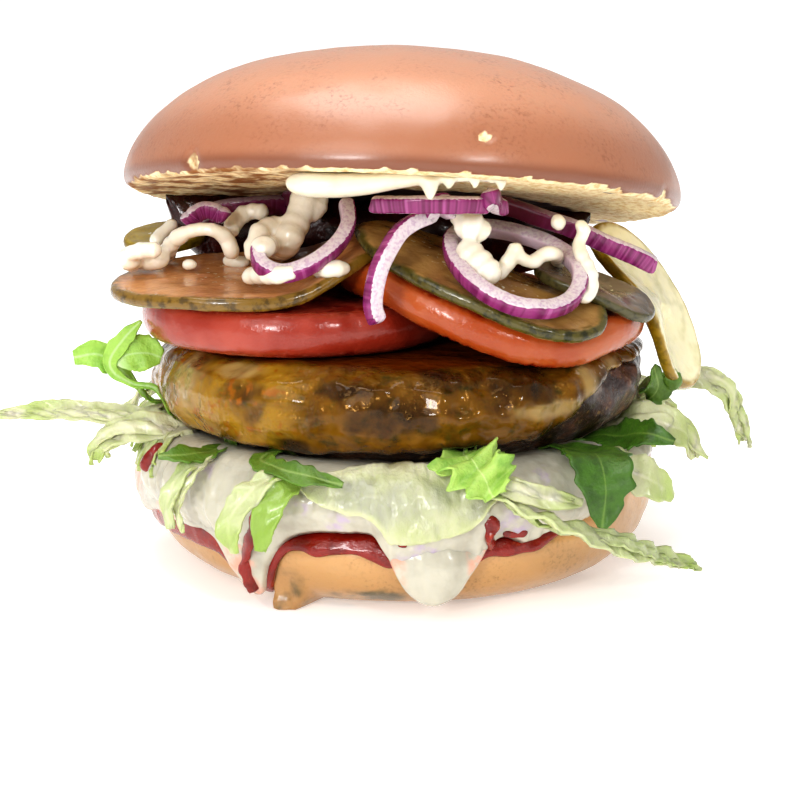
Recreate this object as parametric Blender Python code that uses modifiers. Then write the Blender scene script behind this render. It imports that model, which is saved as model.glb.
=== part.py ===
"""Stacked burger: crusty bun halves, patty under melted cheese, tomato, pickles, onion and salad.

Units are metres, +Z is up, the front of the burger looks along -Y.
The origin is the middle of the flat foot of the bottom bun.
Lengths below are in millimetres and are scaled once, when a mesh is made.
"""
import math

import bmesh
import bpy
from mathutils import Matrix, Vector, noise
from mathutils.bvhtree import BVHTree

MM = 0.001

# Driving dimensions, in millimetres and degrees
FOOT_RADIUS = 39.0
HEEL_CENTRE = 17.0
RIM_FRONT = 16.5
RIM_SIDE = 24.0
RIM_BACK = 22.0
SPREAD_GAP = 0.5
KETCHUP_THICKNESS = 1.0
MAYO_THICKNESS = 1.7
PATTY_RADIUS = 50.2
PATTY_BOTTOM = 26.0
PATTY_TOP = 44.2
STACK_SLOPE = -0.04
CHEESE_THICKNESS = 1.6
TOMATO_RADIUS = 33.0
TOMATO_THICKNESS = 8.8
PICKLE_THICKNESS = 2.6
CROWN_RADIUS = 57.0
CROWN_CENTRE = (0.0, 0.0, 73.7)
CROWN_TILT = -13.8
CROWN_ROLL = 2.6
GAP = 0.35
ROUND_STEPS = 36

# Surface colours as linear red, green and blue, with a roughness
FINISHES = {
    "crust": ((0.56, 0.22, 0.10), 0.35),
    "ketchup": ((0.42, 0.02, 0.01), 0.25),
    "mayo": ((0.86, 0.80, 0.66), 0.30),
    "iceberg": ((0.70, 0.78, 0.42), 0.40),
    "rocket": ((0.09, 0.20, 0.03), 0.45),
    "patty": ((0.05, 0.02, 0.01), 0.55),
    "cheese": ((0.36, 0.16, 0.02), 0.18),
    "tomato": ((0.62, 0.09, 0.04), 0.22),
    "pickle": ((0.42, 0.30, 0.07), 0.30),
    "onion": ((0.56, 0.24, 0.33), 0.30),
}


def clear_scene():
    """Remove whatever the file starts with."""
    for thing in list(bpy.data.objects):
        bpy.data.objects.remove(thing, do_unlink=True)


def make_collection(name):
    """Add a collection to the scene."""
    group = bpy.data.collections.new(name)
    bpy.context.scene.collection.children.link(group)
    return group


def make_material(finish, name):
    """Plain Principled material in the colour of a finish."""
    colour, roughness = FINISHES[finish]
    material = bpy.data.materials.new(name)
    material.use_nodes = True
    shader = material.node_tree.nodes["Principled BSDF"]
    shader.inputs["Base Color"].default_value = (*colour, 1.0)
    shader.inputs["Roughness"].default_value = roughness
    shader.inputs["Metallic"].default_value = 0.0
    return material


def finish_mesh(work, name, finish, group):
    """Turn a bmesh in millimetres into a smooth triangulated object in metres."""
    bmesh.ops.remove_doubles(work, verts=work.verts, dist=0.02)
    bmesh.ops.triangulate(work, faces=work.faces)
    bmesh.ops.recalc_face_normals(work, faces=work.faces)
    bmesh.ops.scale(work, vec=(MM, MM, MM), verts=work.verts)
    mesh = bpy.data.meshes.new(name)
    work.to_mesh(mesh)
    work.free()
    for polygon in mesh.polygons:
        polygon.use_smooth = True
    mesh.materials.append(make_material(finish, name))
    thing = bpy.data.objects.new(name, mesh)
    group.objects.link(thing)
    return thing


def loft(name, rings, finish, group, closed=False):
    """Join rings of equal point count into one body, capped at both ends or closed on itself."""
    work = bmesh.new()
    rows = [[work.verts.new(point) for point in ring] for ring in rings]
    count = len(rows[0])
    pairs = list(zip(rows, rows[1:]))
    if closed:
        pairs.append((rows[-1], rows[0]))
    for near, far in pairs:
        for i in range(count):
            j = (i + 1) % count
            work.faces.new((near[i], near[j], far[j], far[i]))
    if not closed:
        work.faces.new(list(reversed(rows[0])))
        work.faces.new(rows[-1])
    return finish_mesh(work, name, finish, group)


def ease(low, high, value):
    """Smooth ramp from 0 at low to 1 at high."""
    share = min(1.0, max(0.0, (value - low) / (high - low)))
    return share * share * (3.0 - 2.0 * share)


def between(table, place):
    """Straight interpolation in a list of (place, value) pairs."""
    if place <= table[0][0]:
        return table[0][1]
    for (a, low), (b, high) in zip(table, table[1:]):
        if place <= b:
            return low + (high - low) * (place - a) / (b - a)
    return table[-1][1]


def rough(x, y, z, size):
    """Smooth noise between about -1 and 1 with bumps of the given size."""
    return noise.noise(Vector((x / size, y / size, z / size)))


def polar(radius, angle, height):
    """Point at an angle counted from the front towards +X."""
    turn = math.radians(angle)
    return Vector((radius * math.sin(turn), -radius * math.cos(turn), height))


def smooth_path(points, count):
    """Even Catmull-Rom samples through the given points."""
    marks = [Vector(point) for point in points]
    ends = [2 * marks[0] - marks[1]] + marks + [2 * marks[-1] - marks[-2]]
    fine = []
    for k in range(len(marks) - 1):
        a, b, c, d = ends[k:k + 4]
        for step in range(12):
            t = step / 12
            fine.append(0.5 * (2 * b + (c - a) * t + (2 * a - 5 * b + 4 * c - d) * t * t
                               + (3 * b - 3 * c + d - a) * t ** 3))
    fine.append(marks[-1])
    reach = [0.0]
    for p, q in zip(fine, fine[1:]):
        reach.append(reach[-1] + (q - p).length)
    samples = []
    k = 0
    for step in range(count):
        goal = reach[-1] * step / (count - 1)
        while k < len(fine) - 2 and reach[k + 1] < goal:
            k += 1
        span = max(reach[k + 1] - reach[k], 1e-6)
        samples.append(fine[k].lerp(fine[k + 1], min(1.0, (goal - reach[k]) / span)))
    return samples


# The bottom bun as a surface: 0 to 1 runs over the cut face, 1 to 9 down the crust to the foot
RIM_TABLE = [(1, 48.0), (2, 50.4), (3, 52.0), (4, 52.8), (5, 52.4), (6, 50.6), (7, 47.0), (8, 42.6),
             (9, FOOT_RADIUS)]
CUT_DISH = [(0, 0.0), (0.6, 0.05), (0.85, 0.25), (1, 1.0)]
RIM_FALL = [(1, 1.0), (2, 0.965), (3, 0.87), (4, 0.70), (5, 0.50), (6, 0.30), (7, 0.14), (8, 0.045),
            (9, 0.0)]


def rim_height(angle):
    """Height of the squashed rim: low in front, highest at the sides."""
    rise = (RIM_SIDE - RIM_FRONT) * ease(22, 78, abs(angle))
    return RIM_FRONT + rise - (RIM_SIDE - RIM_BACK) * ease(100, 145, abs(angle))


def heel_point(s, angle):
    """Point of the bottom bun's skin."""
    height = rim_height(angle)
    if s <= 1:
        flat = HEEL_CENTRE + (height - HEEL_CENTRE) * between(CUT_DISH, s)
        return polar(RIM_TABLE[0][1] * s, angle, flat)
    return polar(between(RIM_TABLE, s), angle, height * between(RIM_FALL, s))


def heel_offset(s, angle, distance):
    """Point at a distance outside the bottom bun's skin."""
    along = heel_point(s + 0.02, angle) - heel_point(s - 0.02, angle)
    across = heel_point(s, angle + 1.0) - heel_point(s, angle - 1.0)
    if across.length < 1e-6 or along.length < 1e-6:
        outward = Vector((0, 0, 1))
    else:
        outward = along.cross(across).normalized()
    return heel_point(s, angle) + outward * distance


def azimuths():
    """Shared directions of the bottom layers, closer together in front."""
    front = sorted([9.0 * k for k in range(-10, 11)] + [4.5, 13.5, -30.0, -24.0, -21.0])
    back = [90 + 18 * k for k in range(1, 10)]
    return [a if a <= 180 else a - 360 for a in front + back]


# Lower edge of the white sauce on the crust, as heights in millimetres over the angle
MAYO_HEM = [(-180, 18), (-150, 16.5), (-130, 18.5), (-100, 18), (-84, 13), (-70, 12), (-56, 9), (-46, 10.5),
            (-37, 10), (-32, 6.4), (-27, 5.4), (-22, 9.5), (-18, 12.5), (-6, 13.2), (0, 11.5), (4, 7.6),
            (8, 6.2), (12, 8.5), (17, 12.4), (30, 13.6), (42, 16), (60, 20), (80, 22.5), (110, 20),
            (140, 17), (160, 18.5), (180, 18)]
KETCHUP_HEM = [(-180, 20), (-135, 19.5), (-108, 16), (-86, 12), (-72, 10.6), (-50, 9.0), (-40, 10.4), (-31, 6.6),
               (-24, 6.0), (-20, 10), (-14, 12), (-4, 11.6), (6, 11), (16, 11.2), (26, 12.6), (40, 16.5),
               (70, 21), (120, 20.5), (180, 20)]


def hem_place(table, angle):
    """Place on the bun's skin where a spread ends."""
    share = min(0.985, between(table, angle) / rim_height(angle))
    falls = [(value, place) for place, value in reversed(RIM_FALL)]
    return between(falls, share)


def ketchup_cover(s, angle):
    """Thickness of the red spread, thinning out to its edge."""
    return KETCHUP_THICKNESS * (1.0 - 0.55 * ease(0, 1, s - hem_place(KETCHUP_HEM, angle) + 1))


def spread_places(hem, steps):
    """Places of the rings of a spread from the middle to its edge."""
    return [0.06, 0.6, 0.85, 1.0] + [1.0 + (hem - 1.0) * k / steps for k in range(1, steps + 1)]


def spread_body(name, hem_table, lower, upper, steps, finish, group):
    """Layer on the bottom bun between two offsets of its skin."""
    angles = azimuths()
    rings = []
    for k in range(4 + steps):
        ring = []
        for angle in angles:
            s = spread_places(hem_place(hem_table, angle), steps)[k]
            ring.append(heel_offset(s, angle, lower(s, angle)))
        rings.append(ring)
    for k in reversed(range(4 + steps)):
        ring = []
        for angle in angles:
            hem = hem_place(hem_table, angle)
            s = spread_places(hem, steps)[k]
            if k == 3 + steps:
                s -= 0.12
            ring.append(heel_offset(s, angle, upper(s, angle)))
        rings.append(ring)
    return loft(name, rings, finish, group)


def torn_flap(s, angle):
    """How far the torn tongue of crust in front on the left fills the crust down to the board."""
    return ease(6.4, 7.6, s) * (1.0 - ease(3.2, 5.6, abs(angle + 26.0)))


def make_heel(group):
    """Bottom bun with a flat foot, a dished cut face and a torn tongue of crust."""
    places = [9, 8.2, 7.2, 6, 5, 4, 3, 2, 1, 0.85, 0.6, 0.06]
    rings = [[polar(5.0, angle, 0.0) for angle in azimuths()]]
    for s in places:
        ring = []
        for angle in azimuths():
            point = heel_point(s, angle)
            flap = torn_flap(s, angle)
            if flap > 0 and s < 9:
                point = point.lerp(polar(50.4, angle, max(0.9 * point.z, 0.2)), flap)
            ring.append(point)
        rings.append(ring)
    return loft("heel", rings, "crust", group)


def make_ketchup(group):
    """Thin red spread on the bottom bun."""
    return spread_body("ketchup_spread", KETCHUP_HEM, lambda s, a: SPREAD_GAP,
                       lambda s, a: SPREAD_GAP + ketchup_cover(s, a), 4, "ketchup", group)


def mayo_lower(s, angle):
    """Underside of the white sauce, clear of the red spread."""
    return 2 * SPREAD_GAP + ketchup_cover(s, angle)


def mayo_thickness(s, angle):
    """Thickness of the white sauce, thicker in the big drip and in lumps."""
    drip = 1.0 - ease(3, 10, abs(angle - 7.5))
    lumps = 0.5 * rough(angle / 10, s, 3.0, 1.6)
    return MAYO_THICKNESS + lumps + 1.3 * drip * ease(1, 4, s) + 0.5 * ease(0.9, 2.5, s)


def make_mayo(group):
    """White sauce over the red spread, hanging over the rim in lobes and one big drip."""
    return spread_body("mayo_spread", MAYO_HEM, mayo_lower,
                       lambda s, a: mayo_lower(s, a) + mayo_thickness(s, a), 4, "mayo", group)


# The patty as a surface: 0 is the middle of its underside, 12 the middle of its top
PATTY_SHAPE = [(0, 3.0, PATTY_BOTTOM), (1, 20.0, PATTY_BOTTOM), (2, 34.0, PATTY_BOTTOM), (3, 40.0, 26.8),
               (4, 45.4, 29.8), (5, 48.8, 33.2), (6, PATTY_RADIUS, 37.0), (7, 49.8, 40.2), (8, 47.4, 43.0),
               (9, 42.0, PATTY_TOP + 0.3), (10, 32.0, PATTY_TOP + 0.1), (11, 18.0, PATTY_TOP),
               (12, 3.0, PATTY_TOP)]


def slope_at(y):
    """Rise of the leaning stack above its height in the middle."""
    return STACK_SLOPE * y


def patty_point(s, angle):
    """Point of the patty's lumpy skin."""
    radius = between([(a, r) for a, r, z in PATTY_SHAPE], s)
    height = between([(a, z) for a, r, z in PATTY_SHAPE], s)
    side = ease(2.2, 4.2, s) * (1.0 - ease(8.6, 9.8, s))
    point = polar(radius, angle, height)
    lump = 1.3 * rough(point.x, point.y, point.z, 11) + 0.6 * rough(point.x, point.y, point.z, 5)
    point = polar(radius + side * lump, angle, height + 0.4 * side * lump)
    point.z += slope_at(point.y)
    return point


def patty_offset(s, angle, distance):
    """Point at a distance outside the patty's skin."""
    radius = [(a, r) for a, r, z in PATTY_SHAPE]
    height = [(a, z) for a, r, z in PATTY_SHAPE]
    dr = between(radius, s + 0.3) - between(radius, s - 0.3)
    dz = between(height, s + 0.3) - between(height, s - 0.3)
    span = max(math.hypot(dr, dz), 1e-6)
    outward = polar(dz / span, angle, -dr / span)
    return patty_point(s, angle) + outward * distance


def round_angles(count=ROUND_STEPS):
    """Evenly spread directions."""
    return [360.0 * k / count for k in range(count)]


def signed(angle):
    """Angle from the front between -180 and 180."""
    return (angle + 180.0) % 360.0 - 180.0


def make_patty(group):
    """Grilled patty, thick and lumpy."""
    rings = [[patty_point(s, angle) for angle in round_angles()] for s in range(13) if s not in (1, 11)]
    return loft("patty", rings, "patty", group)


# How far down the melted cheese reaches: place on the patty over the angle
CHEESE_HEM = [(-180, 6.0), (-130, 5.2), (-90, 4.9), (-60, 4.4), (-30, 4.2), (0, 4.4), (15, 5.0), (32, 4.8),
              (46, 7.2), (60, 7.8), (90, 7.4), (130, 6.2), (180, 6.0)]


def cheese_thickness(s, angle):
    """Thickness of the melted cheese with soft folds."""
    return CHEESE_THICKNESS + 0.4 * rough(angle / 9, s, 0.0, 1.5)


def cheese_places(angle):
    """Places of the cheese rings on the patty, from the middle of the top to the lower edge."""
    hem = between(CHEESE_HEM, signed(angle))
    places = [12.0, 9.0, 8.0, 7.0, 6.0, 5.0]
    return [max(place, hem + 0.06 * (len(places) - k)) for k, place in enumerate(places)] + [hem]


def make_cheese(group):
    """Melted cheese skin over the top and the front of the patty."""
    angles = round_angles()
    rings = []
    for k in range(7):
        rings.append([patty_offset(cheese_places(angle)[k], angle, GAP + 0.25) for angle in angles])
    for k in reversed(range(7)):
        ring = []
        for angle in angles:
            s = cheese_places(angle)[k]
            deep = GAP + 0.25 + cheese_thickness(s, angle) * (0.7 if k == 6 else 1.0)
            ring.append(patty_offset(s + (0.1 if k == 6 else 0.0), angle, deep))
        rings.append(ring)
    return loft("cheese", rings, "cheese", group)


def slice_body(name, centre, half, thickness, lift, finish, group, turn=0.0, steps=28, edge=1.2, wobble=0.02,
               inner=(0.12, 0.55)):
    """Food slice as a flat oval whose mid height follows lift(x, y)."""
    rings = []
    outline = []
    for k in range(steps):
        angle = 2 * math.pi * k / steps
        size = 1.0 + wobble * rough(math.cos(angle) * 3, math.sin(angle) * 3, centre[0], 1.7)
        outline.append(Vector((half[0] * size * math.cos(angle), half[1] * size * math.sin(angle))))
    inset = edge / min(half)
    rows = [(share, -0.5) for share in inner] + [(1.0 - inset, -0.5), (1.0, -0.2), (1.0, 0.2), (1.0 - inset, 0.5)]
    rows += [(share, 0.5) for share in reversed(inner)]
    spin = Matrix.Rotation(math.radians(turn), 2)
    for share, level in rows:
        ring = []
        for spot in outline:
            flat = spin @ (spot * share)
            x = centre[0] + flat.x
            y = centre[1] + flat.y
            ring.append(Vector((x, y, lift(x, y) + level * thickness)))
        rings.append(ring)
    return loft(name, rings, finish, group)


def frames(path, hint, flat_start=False):
    """Side and normal direction at each point of a path, lying flat at first where asked."""
    result = []
    for k, point in enumerate(path):
        tangent = (path[min(k + 1, len(path) - 1)] - path[max(k - 1, 0)]).normalized()
        face = Vector(hint).normalized()
        if flat_start:
            face = Vector((0, 0, 1)).lerp(face, ease(0.2, 0.6, k / (len(path) - 1)))
        side = face.cross(tangent)
        if side.length < 1e-4:
            side = Vector((1, 0, 0)).cross(tangent)
        side.normalize()
        result.append((tangent, side, tangent.cross(side).normalized()))
    return result


def rope(name, points, radius, finish, group, count=14, sides=6, flat=0.75, thin_ends=True):
    """Round string of sauce or stalk along a path."""
    path = smooth_path(points, count)
    rings = []
    for k, (point, (tangent, side, normal)) in enumerate(zip(path, frames(path, Vector((0, 0, 1))))):
        size = radius * (1.0 + 0.15 * rough(k * 1.0, radius, 0.0, 1.3))
        if thin_ends and (k == 0 or k == count - 1):
            size *= 0.45
        ring = []
        for i in range(sides):
            turn = 2 * math.pi * i / sides
            ring.append(point + side * math.cos(turn) * size + normal * math.sin(turn) * size * flat)
        rings.append(ring)
    return loft(name, rings, finish, group)


def band(name, points, axis, width, thickness, finish, group, count=16, closed=False, taper=0.5):
    """Cut onion ring: a wall of the given width along an axis, standing on a path."""
    if closed:
        loop = [Vector(point) for point in points]
        loop = smooth_path(loop[-2:] + loop + loop[:2], (len(points) + 3) * 6 + 1)
        first = 6
        whole = loop[first:first + len(points) * 6]
        path = [whole[int(k * len(whole) / count)] for k in range(count)]
    else:
        path = smooth_path(points, count)
    rings = []
    total = len(path)
    for k, point in enumerate(path):
        if closed:
            tangent = (path[(k + 1) % total] - path[k - 1]).normalized()
        else:
            tangent = (path[min(k + 1, total - 1)] - path[max(k - 1, 0)]).normalized()
        up = Vector(axis)
        up = (up - tangent * up.dot(tangent)).normalized()
        out = tangent.cross(up).normalized()
        share = 1.0
        if not closed and k in (0, total - 1):
            share = taper
        half = width * 0.5 * share
        thick = thickness * 0.5 * (0.6 + 0.4 * share)
        corners = ((-half, -thick * 0.7), (0, -thick), (half, -thick * 0.7), (half, thick * 0.7), (0, thick),
                   (-half, thick * 0.7))
        rings.append([point + up * a + out * b for a, b in corners])
    return loft(name, rings, finish, group, closed=closed)


def push_off(spot, trees, room):
    """Move a point in millimetres until it keeps some room from the finished surfaces."""
    for _ in range(3):
        for tree in trees:
            near, outward, index, distance = tree.find_nearest(spot * MM)
            if near is None:
                continue
            depth = (spot - near / MM).dot(outward)
            apart = distance / MM
            if depth < 0:
                apart = -apart
            if -4.0 < apart < room:
                spot = near / MM + outward * room
    return spot


def leaf(name, points, widths, hint, thickness, wave, finish, group, count=10, across=2, curl=0.0, around=()):
    """Thin wavy leaf or shred: a grid along a path, pushed clear of what is around it, thickened evenly."""
    path = smooth_path(points, count)
    turns = frames(path, Vector(hint), flat_start=True)
    work = bmesh.new()
    bmesh.ops.create_grid(work, x_segments=across, y_segments=count - 1, size=1.0)
    for vertex in work.verts:
        column = vertex.co.x
        k = round((vertex.co.y + 1.0) * 0.5 * (count - 1))
        tangent, side, normal = turns[k]
        half = 0.5 * between(widths, k / (count - 1))
        ripple = wave * math.sin(2.1 * k + 2.6 * column + points[0][0])
        spot = path[k] + side * half * column + normal * (ripple + curl * column * column * half)
        vertex.co = push_off(spot, around, 0.5 * thickness + 0.5)
    bmesh.ops.triangulate(work, faces=work.faces, quad_method="FIXED")
    mesh = bpy.data.meshes.new(name)
    bmesh.ops.scale(work, vec=(MM, MM, MM), verts=work.verts)
    work.to_mesh(mesh)
    work.free()
    thing = bpy.data.objects.new(name, mesh)
    group.objects.link(thing)
    shell = thing.modifiers.new("thickness", "SOLIDIFY")
    shell.thickness = thickness * MM
    shell.offset = 0.0
    shell.use_even_offset = False
    apply_modifiers(thing)
    mesh = thing.data
    mesh.materials.clear()
    mesh.materials.append(make_material(finish, name))
    for polygon in mesh.polygons:
        polygon.use_smooth = True
    tidy_mesh(thing)
    return thing


def apply_modifiers(thing):
    """Replace the mesh by its evaluated form."""
    graph = bpy.context.evaluated_depsgraph_get()
    graph.update()
    made = bpy.data.meshes.new_from_object(thing.evaluated_get(graph))
    thing.modifiers.clear()
    thing.data = made


def tidy_mesh(thing, largest=False):
    """Merge doubles, drop scraps, split into triangles and turn the faces outwards."""
    work = bmesh.new()
    work.from_mesh(thing.data)
    bmesh.ops.remove_doubles(work, verts=work.verts, dist=0.000001)
    if largest:
        keep_largest(work)
    bmesh.ops.triangulate(work, faces=work.faces)
    bmesh.ops.recalc_face_normals(work, faces=work.faces)
    work.to_mesh(thing.data)
    work.free()
    for polygon in thing.data.polygons:
        polygon.use_smooth = True


def keep_largest(work):
    """Keep the biggest connected body only."""
    left = set(work.verts)
    bodies = []
    while left:
        start = left.pop()
        body = {start}
        todo = [start]
        while todo:
            for edge in todo.pop().link_edges:
                for vertex in edge.verts:
                    if vertex in left:
                        left.discard(vertex)
                        body.add(vertex)
                        todo.append(vertex)
        bodies.append(body)
    bodies.sort(key=len)
    for body in bodies[:-1]:
        bmesh.ops.delete(work, geom=list(body), context="VERTS")


def fuse(thing, extras):
    """Join extra bodies to a piece in one union and remove them."""
    pile = bpy.data.collections.new("fused into " + thing.name)
    for extra in extras:
        pile.objects.link(extra)
    join = thing.modifiers.new("union", "BOOLEAN")
    join.operation = "UNION"
    join.operand_type = "COLLECTION"
    join.collection = pile
    join.solver = "MANIFOLD"
    material = thing.data.materials[0]
    bpy.context.view_layer.update()
    apply_modifiers(thing)
    thing.data.materials.clear()
    thing.data.materials.append(material)
    for extra in extras:
        bpy.data.objects.remove(extra, do_unlink=True)
    bpy.data.collections.remove(pile)
    tidy_mesh(thing, largest=True)


def carve(thing, others, clear=0.2):
    """Cut away what still touches the neighbours, with a little clearance."""
    for other in others:
        work = bmesh.new()
        work.from_mesh(other.data)
        bmesh.ops.recalc_face_normals(work, faces=work.faces)
        work.normal_update()
        moves = [vertex.normal * clear * MM for vertex in work.verts]
        for vertex, move in zip(work.verts, moves):
            vertex.co += move
        tree = BVHTree.FromBMesh(work)
        own = bmesh.new()
        own.from_mesh(thing.data)
        touching = tree.overlap(BVHTree.FromBMesh(own))
        own.free()
        if not touching:
            work.free()
            continue
        mesh = bpy.data.meshes.new("room")
        work.to_mesh(mesh)
        work.free()
        room = bpy.data.objects.new("room", mesh)
        bpy.context.scene.collection.objects.link(room)
        cut = thing.modifiers.new("room", "BOOLEAN")
        cut.operation = "DIFFERENCE"
        cut.object = room
        cut.solver = "MANIFOLD"
        material = thing.data.materials[0]
        bpy.context.view_layer.update()
        apply_modifiers(thing)
        thing.data.materials.clear()
        thing.data.materials.append(material)
        bpy.data.objects.remove(room, do_unlink=True)
        tidy_mesh(thing, largest=True)


def surface_of(things):
    """Search trees of finished pieces, in metres."""
    trees = []
    for thing in things:
        work = bmesh.new()
        work.from_mesh(thing.data)
        trees.append(BVHTree.FromBMesh(work))
        work.free()
    return trees


def settle(thing, supports, way, clear=GAP + 0.25, spread=1.6, reach=40.0):
    """Push a piece out along one direction wherever it would sink into what lies under it."""
    trees = surface_of(supports)
    way = Vector(way).normalized()
    side = way.orthogonal().normalized()
    other = way.cross(side)
    probes = [Vector((0, 0, 0))]
    for k in range(8):
        turn = math.pi * k / 4
        probes.append((side * math.cos(turn) + other * math.sin(turn)) * spread * MM)
    mesh = thing.data
    own = surface_of([thing])[0]
    pushes = []
    for vertex in mesh.vertices:
        start = vertex.co - way * reach * MM
        under = own.ray_cast(start, way)[0]
        depth = 0.0 if under is None else (under - vertex.co).dot(way)
        most = 0.0
        for probe in probes:
            top = vertex.co + probe + way * reach * MM
            for tree in trees:
                hit = tree.ray_cast(top, -way, 2 * reach * MM)[0]
                if hit is not None:
                    most = max(most, (hit - vertex.co).dot(way) - depth + clear * MM)
        pushes.append(most)
    for _ in range(2):
        again = list(pushes)
        for edge in mesh.edges:
            a, b = edge.vertices
            again[a] = max(again[a], pushes[b] * 0.6)
            again[b] = max(again[b], pushes[a] * 0.6)
        pushes = again
    for vertex, push in zip(mesh.vertices, pushes):
        vertex.co += way * push
    mesh.update()
    return thing


def patty_under(radius, angle):
    """Height of the patty's underside."""
    height = between([(r, z) for a, r, z in PATTY_SHAPE[:7]], radius)
    return height + slope_at(polar(radius, angle, 0).y)


def make_salad(group, around):
    """Bed of pale shredded lettuce: a core under the patty with strips fused on."""
    trees = surface_of(around)
    angles = [18.0 * k - 180.0 for k in range(20)]
    rings = []
    reach = {angle: 38.5 + 9.0 * (1.0 - ease(45, 75, abs(angle))) for angle in angles}
    edge_place = RIM_TABLE[0][1]
    for limit in (0.06, 0.6, 0.84, 1.0):
        ring = []
        for angle in angles:
            s = min(limit, reach[angle] / edge_place - 0.02 * (1.0 - limit))
            ring.append(heel_offset(s, angle, mayo_lower(s, angle) + mayo_thickness(s, angle) + 1.0))
        rings.append(ring)
    edge = []
    for angle in angles:
        low = rings[-1][len(edge)].z
        high = patty_under(reach[angle], angle) - 2.6
        edge.append(polar(reach[angle] + 1.5, angle, 0.5 * (low + max(low + 0.8, high))))
    rings.append(edge)
    for share in (0.97, 0.78, 0.5, 0.06):
        ring = []
        for k, angle in enumerate(angles):
            radius = share * reach[angle]
            drop = 0.8 + 1.9 * ease(27, 31, radius)
            low = rings[3][k].z + 0.8 if share > 0.9 else 0.0
            ring.append(polar(radius, angle, max(low, patty_under(radius, angle) - drop)))
        rings.append(ring)
    core = loft("salad_bed", rings, "iceberg", group)
    extras = []
    for k, (points, wide, hint, wave) in enumerate(SHREDS):
        widths = [(0, 0.5 * wide), (0.5, wide), (0.8, wide), (1, wide * 0.35)]
        extras.append(leaf("shred_%d" % k, points, widths, hint, 1.3, wave, "iceberg",
                           group, count=len(points) + 3, across=1, around=trees))
    fuse(core, extras)
    return core


# Shreds of pale lettuce: path points, width, face direction and wave height
SHREDS = [
    ([(-35, -11, 24.6), (-48.5, -11, 29.6), (-61, -2, 28.6), (-73, 2, 28.6), (-87, 5, 26.6)], 4.5, (0, -1, 0.3), 0.5),
    ([(-34, -24, 24.4), (-44.5, -23, 30.2), (-54, -22, 30.6), (-61, -20, 27.0), (-62, -19, 23.0)], 6.0,
     (-0.6, -1, 0.4), 0.5),
    ([(-30, -32, 24.4), (-41, -34, 28.8), (-50, -37, 25.6), (-53, -36, 18.0)], 7.0, (-0.6, -1, 0.4), 0.4),
    ([(-24, -38, 24.0), (-31, -46, 27.4), (-37, -52, 23.0), (-36, -53, 16.6)], 9.0, (-0.6, -1, 0.3), 0.6),
    ([(-20, -40, 24.2), (-25, -53, 27.6), (-27, -57.5, 21.0), (-26, -58, 14.5)], 8.5, (-0.4, -1, 0.3), 0.5),
    ([(-12, -40, 24.2), (-12, -53, 28.0), (-12, -58.5, 25.0), (-12, -60, 19.0)], 13.0, (0, -1, 0.5), 0.5),
    ([(2, -40, 24.2), (1, -53, 28.2), (0, -58.5, 26.0), (0, -60.5, 19.6)], 16.0, (0, -1, 0.5), 0.6),
    ([(10, -38, 24.4), (15, -52, 27.4), (20, -58, 25.0), (30, -56.5, 20.0)], 8.0, (0.2, -1, 0.4), 0.5),
    ([(18, -40, 24.2), (24, -55, 24.4), (33, -57.5, 19.6), (44, -49, 14.6), (55, -38, 8.6), (62, -30, 5.4)],
     5.5, (0.3, -0.8, 0.6), 0.7),
    ([(30, -32, 24.6), (39, -38, 27.8), (47.5, -42, 25.4), (53, -38, 21.0)], 8.0, (0.7, -1, 0.4), 0.5),
    ([(36, -14, 24.8), (47.5, -16, 30.6), (57, -17, 28.6), (60, -16, 23.0)], 8.0, (0.8, -0.7, 0.3), 0.5),
    ([(34, 6, 24.6), (49.5, 6, 30.8), (60, 6, 34.6), (68, 8, 32.6), (73, 12, 24.0), (74, 16, 18.0)],
     5.0, (0.3, -1, 0.3), 0.5),
    ([(34, 18, 24.2), (43.5, 22.5, 30.4), (54, 28, 29.0), (61, 30, 22.0)], 7.0, (1, 0.3, 0.3), 0.4),
    ([(10, 34, 22.9), (12, 42.5, 26.4), (13, 48, 29.8), (16, 58, 28.6), (18, 62, 22.0)], 9.0, (0.2, 1, 0.3), 0.5),
    ([(-15, 32, 22.9), (-18, 39.5, 26.4), (-21, 45.5, 30.0), (-27, 55, 28.4), (-32, 60, 22.6)], 8.0,
     (-0.3, 1, 0.3), 0.5),
    ([(-34, 16, 24.2), (-45, 20, 30.4), (-56, 24, 29.0), (-60, 26, 23.0)], 7.0, (-1, 0.3, 0.3), 0.4),
]

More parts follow.
